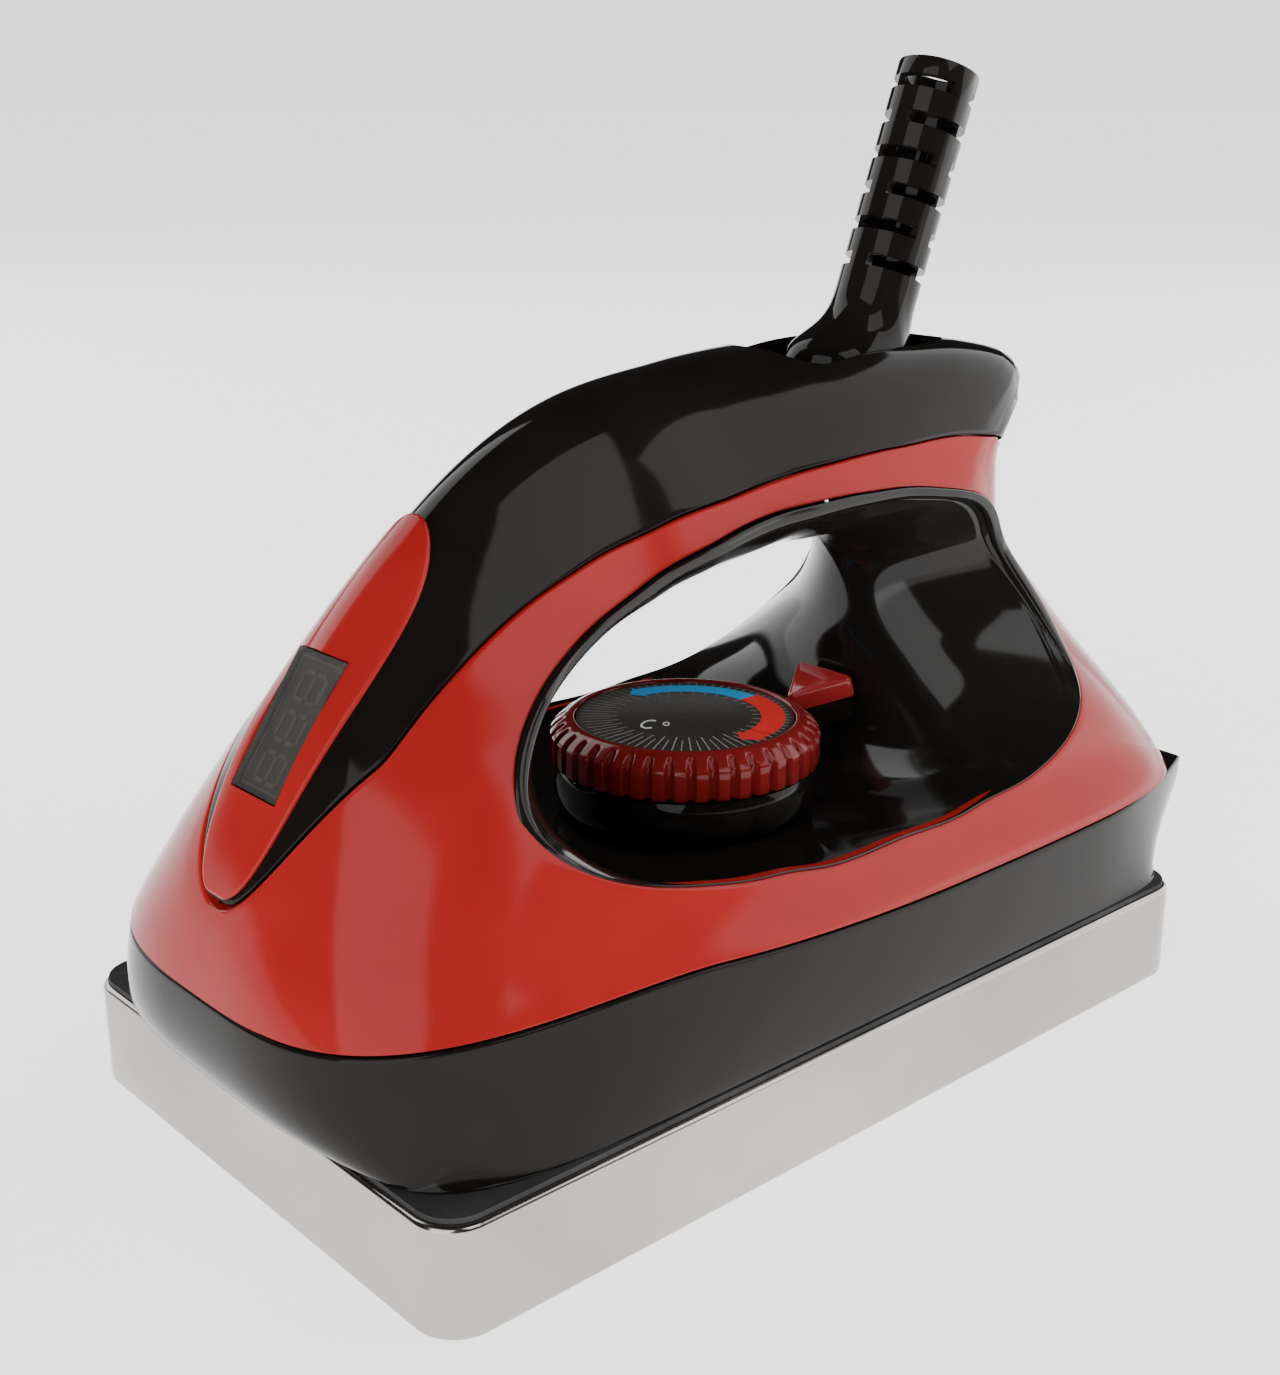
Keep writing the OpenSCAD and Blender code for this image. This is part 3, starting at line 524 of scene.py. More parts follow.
def guard_scoop():
    """Boat-shaped hollow in the handle's top, ahead of the cord guard's ball."""
    rows, half_columns = 24, 16
    centre_y = GUARD_PIVOT[1] - SLOT_AHEAD
    front = centre_y - SLOT_R
    back = centre_y + SCOOP_OVERLAP
    clearance, wall = 0.02, 0.5
    shallow, extra_depth, bowl_power = 0.3, 7.5, 0.7
    face, under = [], []
    for k in range(rows + 1):
        y = front + (back - front) * (1 - math.cos(math.radians(90 * k / rows)))
        half_w = math.sqrt(max(SLOT_R**2 - max(centre_y - y, 0) ** 2, 0.01)) - clearance
        depth = extra_depth * ramp((y - front) / (back - front)) + shallow
        row = []
        for j in range(2 * half_columns + 1):
            s = math.sin(math.radians(90 * (j / half_columns - 1)))
            bowl = math.sqrt(max(1 - s * s, 0)) ** bowl_power
            row.append((s * half_w, y, top_z(half_w, y) - SLOT_EDGE_DROP - depth * bowl))
        face.append(row)
        under.append([(x, y, z - wall) for x, y, z in row])
    return sheet("guard_scoop", np.array(face), np.array(under))


def guard_surround():
    """Wall of the slot on both sides of the ball and behind it."""
    steps = 60
    low, wall = GUARD_PIVOT[2] + 2.4, 0.6
    ahead = SLOT_AHEAD - SCOOP_OVERLAP
    path = [(SLOT_R, -ahead)]
    for k in range(steps + 1):
        turn = math.pi * k / steps
        path.append((SLOT_R * math.cos(turn), SLOT_BACK + SLOT_R * math.sin(turn)))
    path.append((-SLOT_R, -ahead))
    face, back = [], []
    for x, y in path:
        high = top_z(x, GUARD_PIVOT[1] + y) - SLOT_EDGE_DROP
        levels = np.linspace(high, low, 5)
        outward = np.array([x, max(y - SLOT_BACK, 0)])
        inner_xy = np.array([x, y]) - wall * outward / np.linalg.norm(outward)
        face.append([(inner_xy[0], GUARD_PIVOT[1] + inner_xy[1], z) for z in levels])
        back.append([(x, GUARD_PIVOT[1] + y, z) for z in levels])
    return sheet("guard_surround", np.array(face), np.array(back))


GUARD_LEAN = math.radians(21)
SLEEVE_R = 6.6
SLEEVE_BORE_R = 5.2
CORD_BORE_R = 4.1
COLLAR_TOP = 17.6
SLOT_ROWS = 6
SLOT_PITCH = 5.75
SLOT_H = 2
BRIDGE_HALF_W = 1.7
END_RING_H = 3
SLEEVE_TOP = COLLAR_TOP + SLOT_PITCH * (SLOT_ROWS - 1) + SLOT_H + END_RING_H
BALL_LOW = -6
BALL_HALF_W = 8
BALL_REACH = 4.0
guard_place = Matrix.Translation(Vector(GUARD_PIVOT)) @ Matrix.Rotation(-GUARD_LEAN, 4, "X")


def guard_outside():
    """(r, z) up the outside: foot, ball, flare into the sleeve, and the sleeve itself."""
    outline = [(7.4, BALL_LOW), (7.9, BALL_LOW + 0.2)]
    outline += [(math.sqrt(BALL_R**2 - z * z), z) for z in np.linspace(-5.2, 4.2, 11)]
    outline += [(8.35, 5.3), (7.8, 6.5), (7.35, 7.8), (7.03, 9.2), (6.8, 10.8), (6.66, 12.4)]
    outline += [(SLEEVE_R, 14)]
    return outline + [(SLEEVE_R, z) for z in np.linspace(16, SLEEVE_TOP - 0.5, 8)]


def guard_slots():
    """Boxes that cut each ring of the sleeve on two sides, turned by 90 degrees on every other ring."""
    outside = SLEEVE_R + 2.4
    corner_pairs, places = [], []
    for k in range(SLOT_ROWS):
        low = COLLAR_TOP + SLOT_PITCH * k
        for side in (0, 180):
            turn = Matrix.Rotation(math.radians(90 * (k % 2) + side), 4, "Z")
            corner_pairs.append(((BRIDGE_HALF_W, -outside, low), (outside, outside, low + SLOT_H)))
            places.append(guard_place @ turn)
    return boxes("guard_slots", corner_pairs, places)


def cord_guard():
    """Slotted sleeve on a ball that reaches forward and is flat on its sides."""
    steps = 96
    outside = guard_outside()
    outline = [(CORD_BORE_R, BALL_LOW)] + outside
    outline += [(SLEEVE_R - 0.12, SLEEVE_TOP - 0.15), (SLEEVE_R - 0.45, SLEEVE_TOP),
                (SLEEVE_BORE_R + 0.3, SLEEVE_TOP), (SLEEVE_BORE_R, SLEEVE_TOP - 0.3)]
    outline += [(SLEEVE_BORE_R, COLLAR_TOP), (CORD_BORE_R, COLLAR_TOP - 0.4)]
    verts = []
    for k, (r, z) in enumerate(outline):
        reach = BALL_REACH * (1 - ramp((z - 1) / 11)) if 0 < k <= len(outside) else 0
        for i in range(steps):
            turn = 2 * math.pi * i / steps
            x = min(max(r * math.cos(turn), -BALL_HALF_W), BALL_HALF_W)
            verts.append((x, r * math.sin(turn) + min(math.sin(turn), 0) * reach, z))
    faces = grid_faces(len(outline), steps, closed_rows=True, closed_columns=True)
    obj = make_object("cord_guard_black", placed(verts, guard_place), faces)
    cut(obj, guard_slots())
    return obj


def handle_cover():
    """Black cover of the handle and nose, open at the display and the guard."""
    obj = band("handle_cover_black", cover_stations(), 60, 0, WALL)
    cut(obj, window_cutter(0.6))
    cut(obj, slot_cutter())
    return obj


def rear_cover():
    """Black spine that closes the rear of the shell."""
    return band("rear_cover_black", rear_stations(), 24, 0, WALL)


def display_bezel():
    """Red leaf round the display, which stands a little proud of the cover."""
    obj = band("display_bezel_red", bezel_stations(), 30, -BEZEL_PROUD, -0.1, edge=0.5)
    cut(obj, window_cutter(0.2))
    return obj


DIGIT_PITCH = 5.8
DIGIT_PLACES = [-6.2 + DIGIT_PITCH * k for k in range(3)]
SEGMENT_HALF_W = 0.3
FRAME_HALF_W = 0.15
DIGITS_LOW = -1.76
DIGITS_HIGH = -1.66


def flat_box(x, y, half_x, half_y):
    """Low and high corners of a thin box on the display, centred at x across and y along."""
    return (x - half_x, y - half_y, DIGITS_LOW), (x + half_x, y + half_y, DIGITS_HIGH)


def display_digits():
    """Three faint seven-segment eights in a frame, on the display under its window."""
    long_half, short_half = 1.7, 0.95
    bars = []
    for along in DIGIT_PLACES:
        for across in (-2.6, 0, 2.6):
            bars.append(flat_box(across, along, SEGMENT_HALF_W, long_half))
        for across in (-1.3, 1.3):
            for end in (-2.0, 2.0):
                bars.append(flat_box(across, along + end, short_half, SEGMENT_HALF_W))
    frame_x, frame_y = 4.6, 9.2
    for side in (-1, 1):
        bars.append(flat_box(side * frame_x, 0, FRAME_HALF_W, frame_y))
        bars.append(flat_box(0, side * frame_y, frame_x, FRAME_HALF_W))
    return boxes("display_digits", bars, [display_place] * len(bars))


# -------- hand opening
LINER_T = LIP - 2 * SEAM_GAP
LINER_EDGE = 0.94
LINER_ROLL = 0.8
FLUSH_LIP = 0.45
FLUSH_SINE = 0.26


def ramp(x):
    """Smooth step from 0 to 1."""
    s = min(max(x, 0), 1)
    return s * s * (3 - 2 * s)


def flushness(a):
    """1 round the lower half of the opening, where the lining meets the shell without a lip."""
    return ramp(-math.sin(math.radians(a)) / FLUSH_SINE)


def lip(a):
    """Height of the shell's rim above the lining's edge."""
    return LIP + (FLUSH_LIP - LIP) * flushness(a)


def liner_r(a, s):
    """Distance of the lining from the hub. s is 0 on the centre plane and 1 at the rim."""
    a = a % 360
    t = np.minimum(np.abs(s) / (LINER_EDGE + (1 - LINER_EDGE) * flushness(a)), 1)
    power = 2 + 1.6 * max(-math.sin(math.radians(a)), 0) ** 2
    return waist(a) + (rim(a) - lip(a) - waist(a)) * t**power


def side_points(a, x, r):
    """Points at angle a and distance r from the hub, at x across."""
    turn = np.radians(a)
    return np.stack(np.broadcast_arrays(
        x, HUB[0] + r * np.cos(turn), HUB[1] + r * np.sin(turn)), axis=-1)


def bead(d):
    """Depth of the fine groove that splits the lip into two beads, at a distance from its edge."""
    depth, place, width = 0.35, 1.9, 0.22
    return depth * np.exp(-((d - place) / width) ** 2)


def grip_liner():
    """Black lining: a closed ring that is narrowest on the centre plane and flares to both rims."""
    steps = 300
    back_clearance, back_slope, thinnest = 0.2, 1.5, 0.2
    outer, inner = [], []
    half_s = np.concatenate([np.linspace(0, 0.86, 36), np.linspace(0.87, 1, 40)])
    s = np.concatenate([-half_s[:0:-1], half_s])
    for k in range(steps):
        a = 360 * k / steps
        half = body_point(a, phi_of(a, rim(a) - lip(a)))[0]
        d = (1 - np.abs(s)) * half
        face = liner_r(a, s) + (roll(d, LINER_ROLL) + bead(d)) * (1 - flushness(a))
        back = np.minimum(face + LINER_T, rim(a) - back_clearance + back_slope * d)
        outer.append(side_points(a, s * half, face))
        inner.append(side_points(a, s * half, np.maximum(back, face + thinnest)))
    return sheet("opening_lining", np.array(outer), np.array(inner), closed=True)


# -------- skirt and sole
SKIRT_BOTTOM = 17.0
SKIRT_HALF = np.array([44.6, 77.6])
SKIRT_EDGE_R = 0.45
NOSE_CORNER_POWER = 7
HEEL_CORNER_POWER = 14
POCKET_HALF = np.array([44.5, 89.5])
POCKET_CORNER = np.array([37.0, 87.5])
POCKET_FROM = 40
POCKET_BLEND = 35
TAPER_FROM = 50
NOSE_BULGE = 1.5


def superellipse(direction, half, n):
    """Point of a superellipse in the given direction from its centre."""
    u = np.array([math.cos(direction), math.sin(direction)])
    return u * (abs(u[0] / half[0]) ** n + abs(u[1] / half[1]) ** n) ** (-1 / n)


def skirt_top(y):
    """Skirt's top edge on the right: under the shell in front, and clear of it round the heel."""
    z = float(seam_z(y))
    a = angle_of(y, z)
    body_x = body_point(a, phi_of(a, math.hypot(y - HUB[0], z - HUB[1])))[0]
    taper = (max(y - TAPER_FROM, 0) / (POCKET_CORNER[1] - TAPER_FROM)) ** 2
    pocket_x = POCKET_HALF[0] - (POCKET_HALF[0] - POCKET_CORNER[0]) * taper
    blend = ramp((y - POCKET_FROM) / POCKET_BLEND)
    return np.array([body_x * (1 - blend) + pocket_x * blend, y, z - SEAM_GAP])


def skirt_tops():
    """Top edge all round: nose, right side, bowed heel, left side."""
    right = [skirt_top(y) for y in seam_positions(110)]
    heel = []
    for side in np.linspace(1, -1, 31):
        y = POCKET_HALF[1] - (POCKET_HALF[1] - POCKET_CORNER[1]) * side**2
        heel.append(np.array([side * POCKET_CORNER[0], y, right[-1][2]]))
    left = [p * [-1, 1, 1] for p in right[1:-1]]
    right[0] = right[0] * [0, 1, 1]
    return right[:1] + right[1:-1] + heel + left[::-1]


def skirt_row(top, depth, edge):
    """Points down the skirt at one place. depth is taken off; edge is the top edge's radius."""
    upper = top[:2] * (1 - depth / POCKET_HALF)
    corner_power = NOSE_CORNER_POWER if top[1] < 0 else HEEL_CORNER_POWER
    plan = superellipse(math.atan2(top[1], top[0]), SKIRT_HALF, corner_power)
    lower = plan * (1 - depth / SKIRT_HALF)
    bulge = NOSE_BULGE * ramp(-top[1] / 60)
    out = upper / np.linalg.norm(upper)
    points = []
    turns = np.concatenate([[0, 0.3, 0.9, 1.8, 3], np.linspace(5, 90, 28)])
    for t in np.radians(turns):
        drop = (top[2] - SKIRT_BOTTOM) * math.sin(t)
        fall = roll(drop, edge)
        xy = lower + (upper - lower) * math.cos(t) + bulge * math.sin(2 * t) * out - fall * out
        points.append([xy[0], xy[1], top[2] - drop])
    return points


def lower_skirt():
    tops = skirt_tops()
    outer = np.array([skirt_row(t, 0, SKIRT_EDGE_R) for t in tops])
    inner = np.array([skirt_row(t, WALL, 0) for t in tops])
    return sheet("lower_skirt_black", outer, inner, closed=True)


PLATE_HALF = (45.75, 77.5)
PLATE_R = 6.5
PLATE_T = 16.0
PLATE_FILLET = 0.9


def rounded_rectangle(half_x, half_y, r):
    steps = 20
    points = []
    for corner, (sx, sy) in enumerate([(1, 1), (-1, 1), (-1, -1), (1, -1)]):
        for k in range(steps + 1):
            t = math.radians(90 * corner + 90 * k / steps)
            points.append((sx * (half_x - r) + r * math.cos(t), sy * (half_y - r) + r * math.sin(t)))
    return points


def base_plate():
    """Aluminium sole: a slab with rounded upright corners and small fillets all round."""
    levels = []
    for k in range(9):
        t = math.radians(90 * k / 8)
        levels.append((PLATE_FILLET * (1 - math.sin(t)), PLATE_FILLET * (1 - math.cos(t))))
    levels += [(inset, PLATE_T - z) for inset, z in levels[::-1]]
    verts = []
    for inset, z in levels:
        outline = rounded_rectangle(PLATE_HALF[0] - inset, PLATE_HALF[1] - inset, PLATE_R - inset)
        verts += [(x, y, z) for x, y in outline]
    return make_object("sole_plate", verts, capped_faces(len(levels), len(outline)), 50)


# -------- dial
DIAL_CENTRE = (0, 3.75)
DIAL_R = 21.2
DIAL_RIBS = 40
FACE_R = 17.1
FACE_TOP = 51.0
ARROW_R = 0.70 * FACE_R
KNOB_LOW = 44.4
KNOB_TOP = 51.4
GROOVE_HALF_W = 0.2


def on_dial(r, degrees):
    """(x, y) about the dial's axis."""
    return (r * math.cos(math.radians(degrees)), r * math.sin(math.radians(degrees)))


def lathe(name, outline, steps=144, groove=None, sharp_angle=SHARP_ANGLE):
    """Piece turned about the dial's axis from (r, z). groove(turn, k) is taken off r there."""
    verts = []
    for k, (r, z) in enumerate(outline):
        for i in range(steps):
            turn = 2 * math.pi * i / steps
            radius = r - (groove(turn, k) if groove else 0)
            verts.append((DIAL_CENTRE[0] + radius * math.cos(turn),
                          DIAL_CENTRE[1] + radius * math.sin(turn), z))
    return make_object(name, verts, capped_faces(len(outline), steps), sharp_angle)


def dial_ring():
    """Ribbed ring: flat ribs with rounded grooves between them that end in the top chamfer.

    depth is the grooves' depth at each point of the outline.
    """
    outline = [
        (18.0, KNOB_LOW), (20.6, KNOB_LOW), (21.0, KNOB_LOW + 0.12), (DIAL_R, KNOB_LOW + 0.4),
        (DIAL_R, 46.0), (DIAL_R, 47.5), (DIAL_R, 48.8), (21.1, 49.1), (20.8, 49.45),
        (20.4, 49.85), (20.0, 50.2), (19.6, 50.5), (19.2, 50.78), (18.8, 51.0), (18.4, 51.2),
        (18.0, 51.34), (17.7, KNOB_TOP), (17.45, 51.3), (17.25, 50.9), (17.2, 50.4),
    ]
    depth = [0.7, 1.0, 1.05, 1.1, 1.1, 1.1, 1.1, 1.1, 1.05, 0.95, 0.8, 0.55, 0.2] + [0] * 7

    def groove(turn, k):
        pitch = (turn * DIAL_RIBS / (2 * math.pi)) % 1
        across = abs(pitch - 0.5) / GROOVE_HALF_W
        return depth[k] * math.sqrt(max(1 - across**2, 0))

    return lathe("dial_ribbed_ring", outline, DIAL_RIBS * 16, groove, 50)


def dial_disc():
    low = FACE_TOP - 0.3
    outline = [(0.01, low), (FACE_R, low), (FACE_R, FACE_TOP - 0.05), (FACE_R - 0.1, FACE_TOP),
               (0.01, FACE_TOP)]
    return lathe("dial_printed_disc", outline)


def flat_print(name, shapes, thickness=0.04):
    """Thin raised prints on the disc: each shape is a list of (x, y) about the dial's axis."""
    verts, faces = [], []
    for shape in shapes:
        start = len(verts)
        n = len(shape)
        for level in (FACE_TOP - 0.02, FACE_TOP + thickness):
            verts += [(DIAL_CENTRE[0] + x, DIAL_CENTRE[1] + y, level) for x, y in shape]
        faces.append([start + k for k in range(n)][::-1])
        faces.append([start + n + k for k in range(n)])
        for k in range(n):
            k2 = (k + 1) % n
            faces.append([start + k, start + k2, start + n + k2, start + n + k])
    return make_object(name, verts, faces)


def arc_shapes(r_in, r_out, start, end):
    """Arc between two radii, as short four-sided pieces."""
    steps = 36
    shapes = []
    for k in range(steps):
        a0 = start + (end - start) * k / steps
        a1 = start + (end - start) * (k + 1) / steps
        shapes.append([on_dial(r_in, a0), on_dial(r_out, a0), on_dial(r_out, a1), on_dial(r_in, a1)])
    return shapes


def arc_arrow(r_in, r_out, start, end, head):
    """Curved arrow from start to end, in degrees; the head is the last few degrees."""
    turn = 1 if end > start else -1
    neck = end - turn * head
    shapes = arc_shapes(r_in, r_out, start, neck)
    mid = (r_in + r_out) / 2
    reach = (r_out - r_in) * 0.78
    shapes.append([on_dial(mid - reach, neck), on_dial(mid + reach, neck), on_dial(mid, end)])
    return shapes


def dial_ticks():
    """Long and short ticks by turns, all round the disc."""
    ticks = 72
    r_out = 0.965 * FACE_R
    shapes = []
    for k in range(ticks):
        a = 360 / ticks * k
        r_in, half = (0.62 * FACE_R, 0.45) if k % 2 == 0 else (ARROW_R, 0.35)
        outer_half = 0.8 * half
        shapes.append([on_dial(r_in, a - half), on_dial(r_out, a - outer_half),
                       on_dial(r_out, a + outer_half), on_dial(r_in, a + half)])
    return shapes


def degree_mark():
    """A small degree ring and a C, which read from the nose's right-hand side."""
    reading = 48.0
    across = np.array(on_dial(1, reading))
    up = np.array(on_dial(1, reading + 90))

    def stroke(centre, radius, width, start, end, slant):
        """Part of an upright oval ring, leaning by the slant."""
        narrow, tall = 0.8, 1.25
        shapes = []
        steps = 20
        for k in range(steps):
            a0 = math.radians(start + (end - start) * k / steps)
            a1 = math.radians(start + (end - start) * (k + 1) / steps)
            quad = []
            for r, a in ((radius, a0), (radius + width, a0), (radius + width, a1), (radius, a1)):
                u = centre[0] + r * math.cos(a) * narrow + slant * r * math.sin(a)
                v = centre[1] + r * math.sin(a) * tall
                quad.append(tuple(across * u + up * v))
            shapes.append(quad)
        return shapes

    letter = stroke((-5.6, -4.4), 1.25, 0.42, 55, 305, 0.25)
    ring = stroke((-3.0, -4.2), 0.45, 0.26, 0, 360, 0.0)
    return letter + ring


def dial_pedestal():
    """Drum under the dial, with a softly rounded foot and shoulder."""
    outline = [
        (17.0, 36.6), (18.4, 36.6), (19.4, 37.0), (20.1, 37.8), (20.55, 38.8), (20.8, 40.0),
        (20.85, 41.2), (20.75, 42.4), (20.5, 43.3), (20.2, 43.85), (19.7, 44.05), (12.0, 44.05),
        (4.5, 44.05), (3.1, 44.0), (3.1, 43.0),
    ]
    return lathe("dial_pedestal_drum", outline)


# -------- indicator lens
lens_place = Matrix.Translation(Vector((0, 27.9, 45.9))) @ Matrix.Rotation(math.radians(17), 4, "X")


def rounded_polygon(corners, radius):
    """Outline of a convex polygon, anticlockwise, with its corners rounded."""
    steps = 8
    points = []
    n = len(corners)
    for k in range(n):
        p = Vector(corners[k])
        before = (Vector(corners[k - 1]) - p).normalized()
        after = (Vector(corners[(k + 1) % n]) - p).normalized()
        half = before.angle(after) / 2
        centre = p + (before + after).normalized() * (radius / math.sin(half))
        first = p + before * (radius / math.tan(half)) - centre
        last = p + after * (radius / math.tan(half)) - centre
        a0 = math.atan2(first.y, first.x)
        a1 = math.atan2(last.y, last.x)
        if a1 < a0:
            a1 += 2 * math.pi
        for j in range(steps + 1):
            a = a0 + (a1 - a0) * j / steps
            points.append((centre.x + radius * math.cos(a), centre.y + radius * math.sin(a)))
    return points


def indicator_lens():
    """Red triangle that points at the dial. levels are (z, share of the outline's size)."""
    outline = rounded_polygon([(0, -0.4), (6.7, 9.9), (-6.7, 9.9)], 0.9)
    levels = [(0, 0.96), (0.1, 1.0), (1.5, 1.0), (2.9, 0.99), (3.2, 0.96), (3.4, 0.9)]
    middle_y = 6.5
    verts = []
    for z, share in levels:
        verts += [(x * share, middle_y + (y - middle_y) * share, z) for x, y in outline]
    faces = capped_faces(len(levels), len(outline))
    return make_object("indicator_lens_red", placed(verts, lens_place), faces, 30)


# -------- materials
def new_material(name):
    material = bpy.data.materials.new(name)
    material.use_nodes = True
    nodes = material.node_tree.nodes
    return material, nodes, material.node_tree.links, nodes["Principled BSDF"]


def noise(nodes, links, scale, detail=3.0, stretch=(1, 1, 1)):
    """Noise texture in the object's own coordinates. Its marks are short where the stretch is large."""
    coords = nodes.new("ShaderNodeTexCoord")
    mapping = nodes.new("ShaderNodeMapping")
    mapping.inputs["Scale"].default_value = stretch
    texture = nodes.new("ShaderNodeTexNoise")
    texture.inputs["Scale"].default_value = scale
    texture.inputs["Detail"].default_value = detail
    links.new(coords.outputs["Object"], mapping.inputs["Vector"])
    links.new(mapping.outputs["Vector"], texture.inputs["Vector"])
    return texture


TEXTURE_LOW = 0.3
TEXTURE_HIGH = 0.7


def spread(nodes, links, texture, low, high):
    """Maps a texture's middle range to values from low to high."""
    node = nodes.new("ShaderNodeMapRange")
    node.inputs["From Min"].default_value = TEXTURE_LOW
    node.inputs["From Max"].default_value = TEXTURE_HIGH
    node.inputs["To Min"].default_value = low
    node.inputs["To Max"].default_value = high
    links.new(texture.outputs["Fac"], node.inputs["Value"])
    return node.outputs["Result"]


def colour_steps(node, first, second):
    """Sets both stops of a colour ramp, each a (position, colour)."""
    for element, (position, colour) in zip(node.color_ramp.elements, (first, second)):
        element.position = position
        element.color = (*colour, 1)


def tint(nodes, links, texture, dark, light):
    """Maps a texture's middle range to colours from dark to light."""
    node = nodes.new("ShaderNodeValToRGB")
    colour_steps(node, (TEXTURE_LOW, dark), (TEXTURE_HIGH, light))
    links.new(texture.outputs["Fac"], node.inputs["Fac"])
    return node.outputs["Color"]


BUMP_DEPTH = 0.1 * MM


def bump(nodes, links, shader, texture, strength):
    node = nodes.new("ShaderNodeBump")
    node.inputs["Strength"].default_value = strength
    node.inputs["Distance"].default_value = BUMP_DEPTH
    links.new(texture.outputs["Fac"], node.inputs["Height"])
    links.new(node.outputs["Normal"], shader.inputs["Normal"])


def textured(name, dark, light, rough_low, rough_high, drift_scale, relief, strength):
    """Faint colour drift, uneven gloss and fine relief. relief is a noise's scale, detail and stretch."""
    material, nodes, links, shader = new_material(name)
    drift = noise(nodes, links, drift_scale)
    fine = noise(nodes, links, *relief)
    links.new(tint(nodes, links, drift, dark, light), shader.inputs["Base Color"])
    links.new(spread(nodes, links, fine, rough_low, rough_high), shader.inputs["Roughness"])
    bump(nodes, links, shader, fine, strength)
    return material, shader.inputs


def moulded(name, dark, light, rough_low, rough_high, grain=2500, strength=0.01, shine=0.25):
    """Moulded plastic."""
    material, inputs = textured(name, dark, light, rough_low, rough_high, 60, (grain, 4), strength)
    inputs["Specular IOR Level"].default_value = shine
    return material


def metal(name, dark, light, rough_low, rough_high, stretch=(1, 1, 1), scale=600, strength=0.05):
    """Bare metal with fine machining marks."""
    marks = (scale, 4, stretch)
    material, inputs = textured(name, dark, light, rough_low, rough_high, 30, marks, strength)
    inputs["Metallic"].default_value = 1.0
    return material


def clear(name, dark, light, rough_low, rough_high, transmission):
    """Tinted see-through plastic."""
    material, inputs = textured(name, dark, light, rough_low, rough_high, 80, (900,), 0.02)
    inputs["Transmission Weight"].default_value = transmission
    return material


RED = moulded("red_gloss_plastic", (0.34, 0.014, 0.014), (0.37, 0.018, 0.017), 0.10, 0.14, shine=0.16)
BLACK = moulded("black_gloss_plastic", (0.007, 0.006, 0.005), (0.010, 0.0085, 0.007), 0.05, 0.09,
                shine=0.14)
LINER = moulded("black_lining_plastic", (0.008, 0.007, 0.006), (0.011, 0.0095, 0.008), 0.07, 0.11)
DIAL_RED = moulded("dial_red_plastic", (0.17, 0.010, 0.010), (0.21, 0.014, 0.013), 0.08, 0.14)
DISC = moulded("dial_print_black", (0.030, 0.027, 0.024), (0.040, 0.036, 0.031), 0.35, 0.45)
PRINT_GREY = moulded("print_grey", (0.30, 0.28, 0.25), (0.36, 0.34, 0.30), 0.4, 0.5)
PRINT_WHITE = moulded("print_white", (0.75, 0.75, 0.74), (0.85, 0.85, 0.84), 0.4, 0.5)
PRINT_BLUE = moulded("print_blue", (0.02, 0.36, 0.80), (0.03, 0.40, 0.86), 0.4, 0.5)
PRINT_RED = moulded("print_red", (0.80, 0.02, 0.02), (0.86, 0.03, 0.025), 0.4, 0.5)
SOLE = metal("sole_aluminium", (0.31, 0.285, 0.265), (0.42, 0.39, 0.365), 0.14, 0.22, (1, 1, 12), 120, 0.02)
STEEL = metal("screw_steel", (0.50, 0.50, 0.50), (0.62, 0.62, 0.61), 0.25, 0.4)
ELEMENT = metal("element_steel", (0.36, 0.34, 0.31), (0.46, 0.43, 0.40), 0.3, 0.45)
BRASS = metal("contact_brass", (0.65, 0.50, 0.24), (0.75, 0.60, 0.32), 0.25, 0.35)
HEATSINK = metal("heatsink_aluminium", (0.6, 0.6, 0.61), (0.68, 0.68, 0.69), 0.3, 0.4, (1, 1, 10))
GASKET = moulded("gasket_board", (0.02, 0.02, 0.02), (0.05, 0.05, 0.05), 0.7, 0.9, 900, 0.3)
CHASSIS = moulded("chassis_paint", (0.03, 0.03, 0.03), (0.05, 0.05, 0.05), 0.4, 0.55, 1500, 0.1)
BOARD = moulded("board_green", (0.01, 0.11, 0.04), (0.02, 0.15, 0.06), 0.3, 0.4, 600, 0.1)
CHIP = moulded("chip_black", (0.02, 0.02, 0.02), (0.035, 0.035, 0.035), 0.5, 0.6, 1200, 0.2)
POT = moulded("pot_blue", (0.04, 0.09, 0.25), (0.06, 0.12, 0.30), 0.3, 0.4)
CERAMIC = moulded("sensor_ceramic", (0.66, 0.64, 0.58), (0.76, 0.74, 0.68), 0.5, 0.7, 1200, 0.2)
WIRE = moulded("wire_sleeve", (0.16, 0.07, 0.03), (0.20, 0.09, 0.04), 0.4, 0.55)
PALE_WIRE = moulded("heater_sleeve", (0.6, 0.59, 0.55), (0.7, 0.69, 0.65), 0.5, 0.65)
LED = moulded("led_red", (0.6, 0.03, 0.02), (0.7, 0.05, 0.03), 0.15, 0.2)
LCD = moulded("lcd_grey", (0.030, 0.029, 0.027), (0.040, 0.038, 0.035), 0.25, 0.35)
LCD_MARK = moulded("lcd_digits", (0.12, 0.115, 0.11), (0.15, 0.145, 0.135), 0.3, 0.4)
LENS = clear("lens_red", (0.40, 0.025, 0.025), (0.47, 0.035, 0.033), 0.08, 0.14, 0.15)
WINDOW = clear("window_smoke", (0.62, 0.60, 0.57), (0.68, 0.66, 0.62), 0.03, 0.06, 0.95)

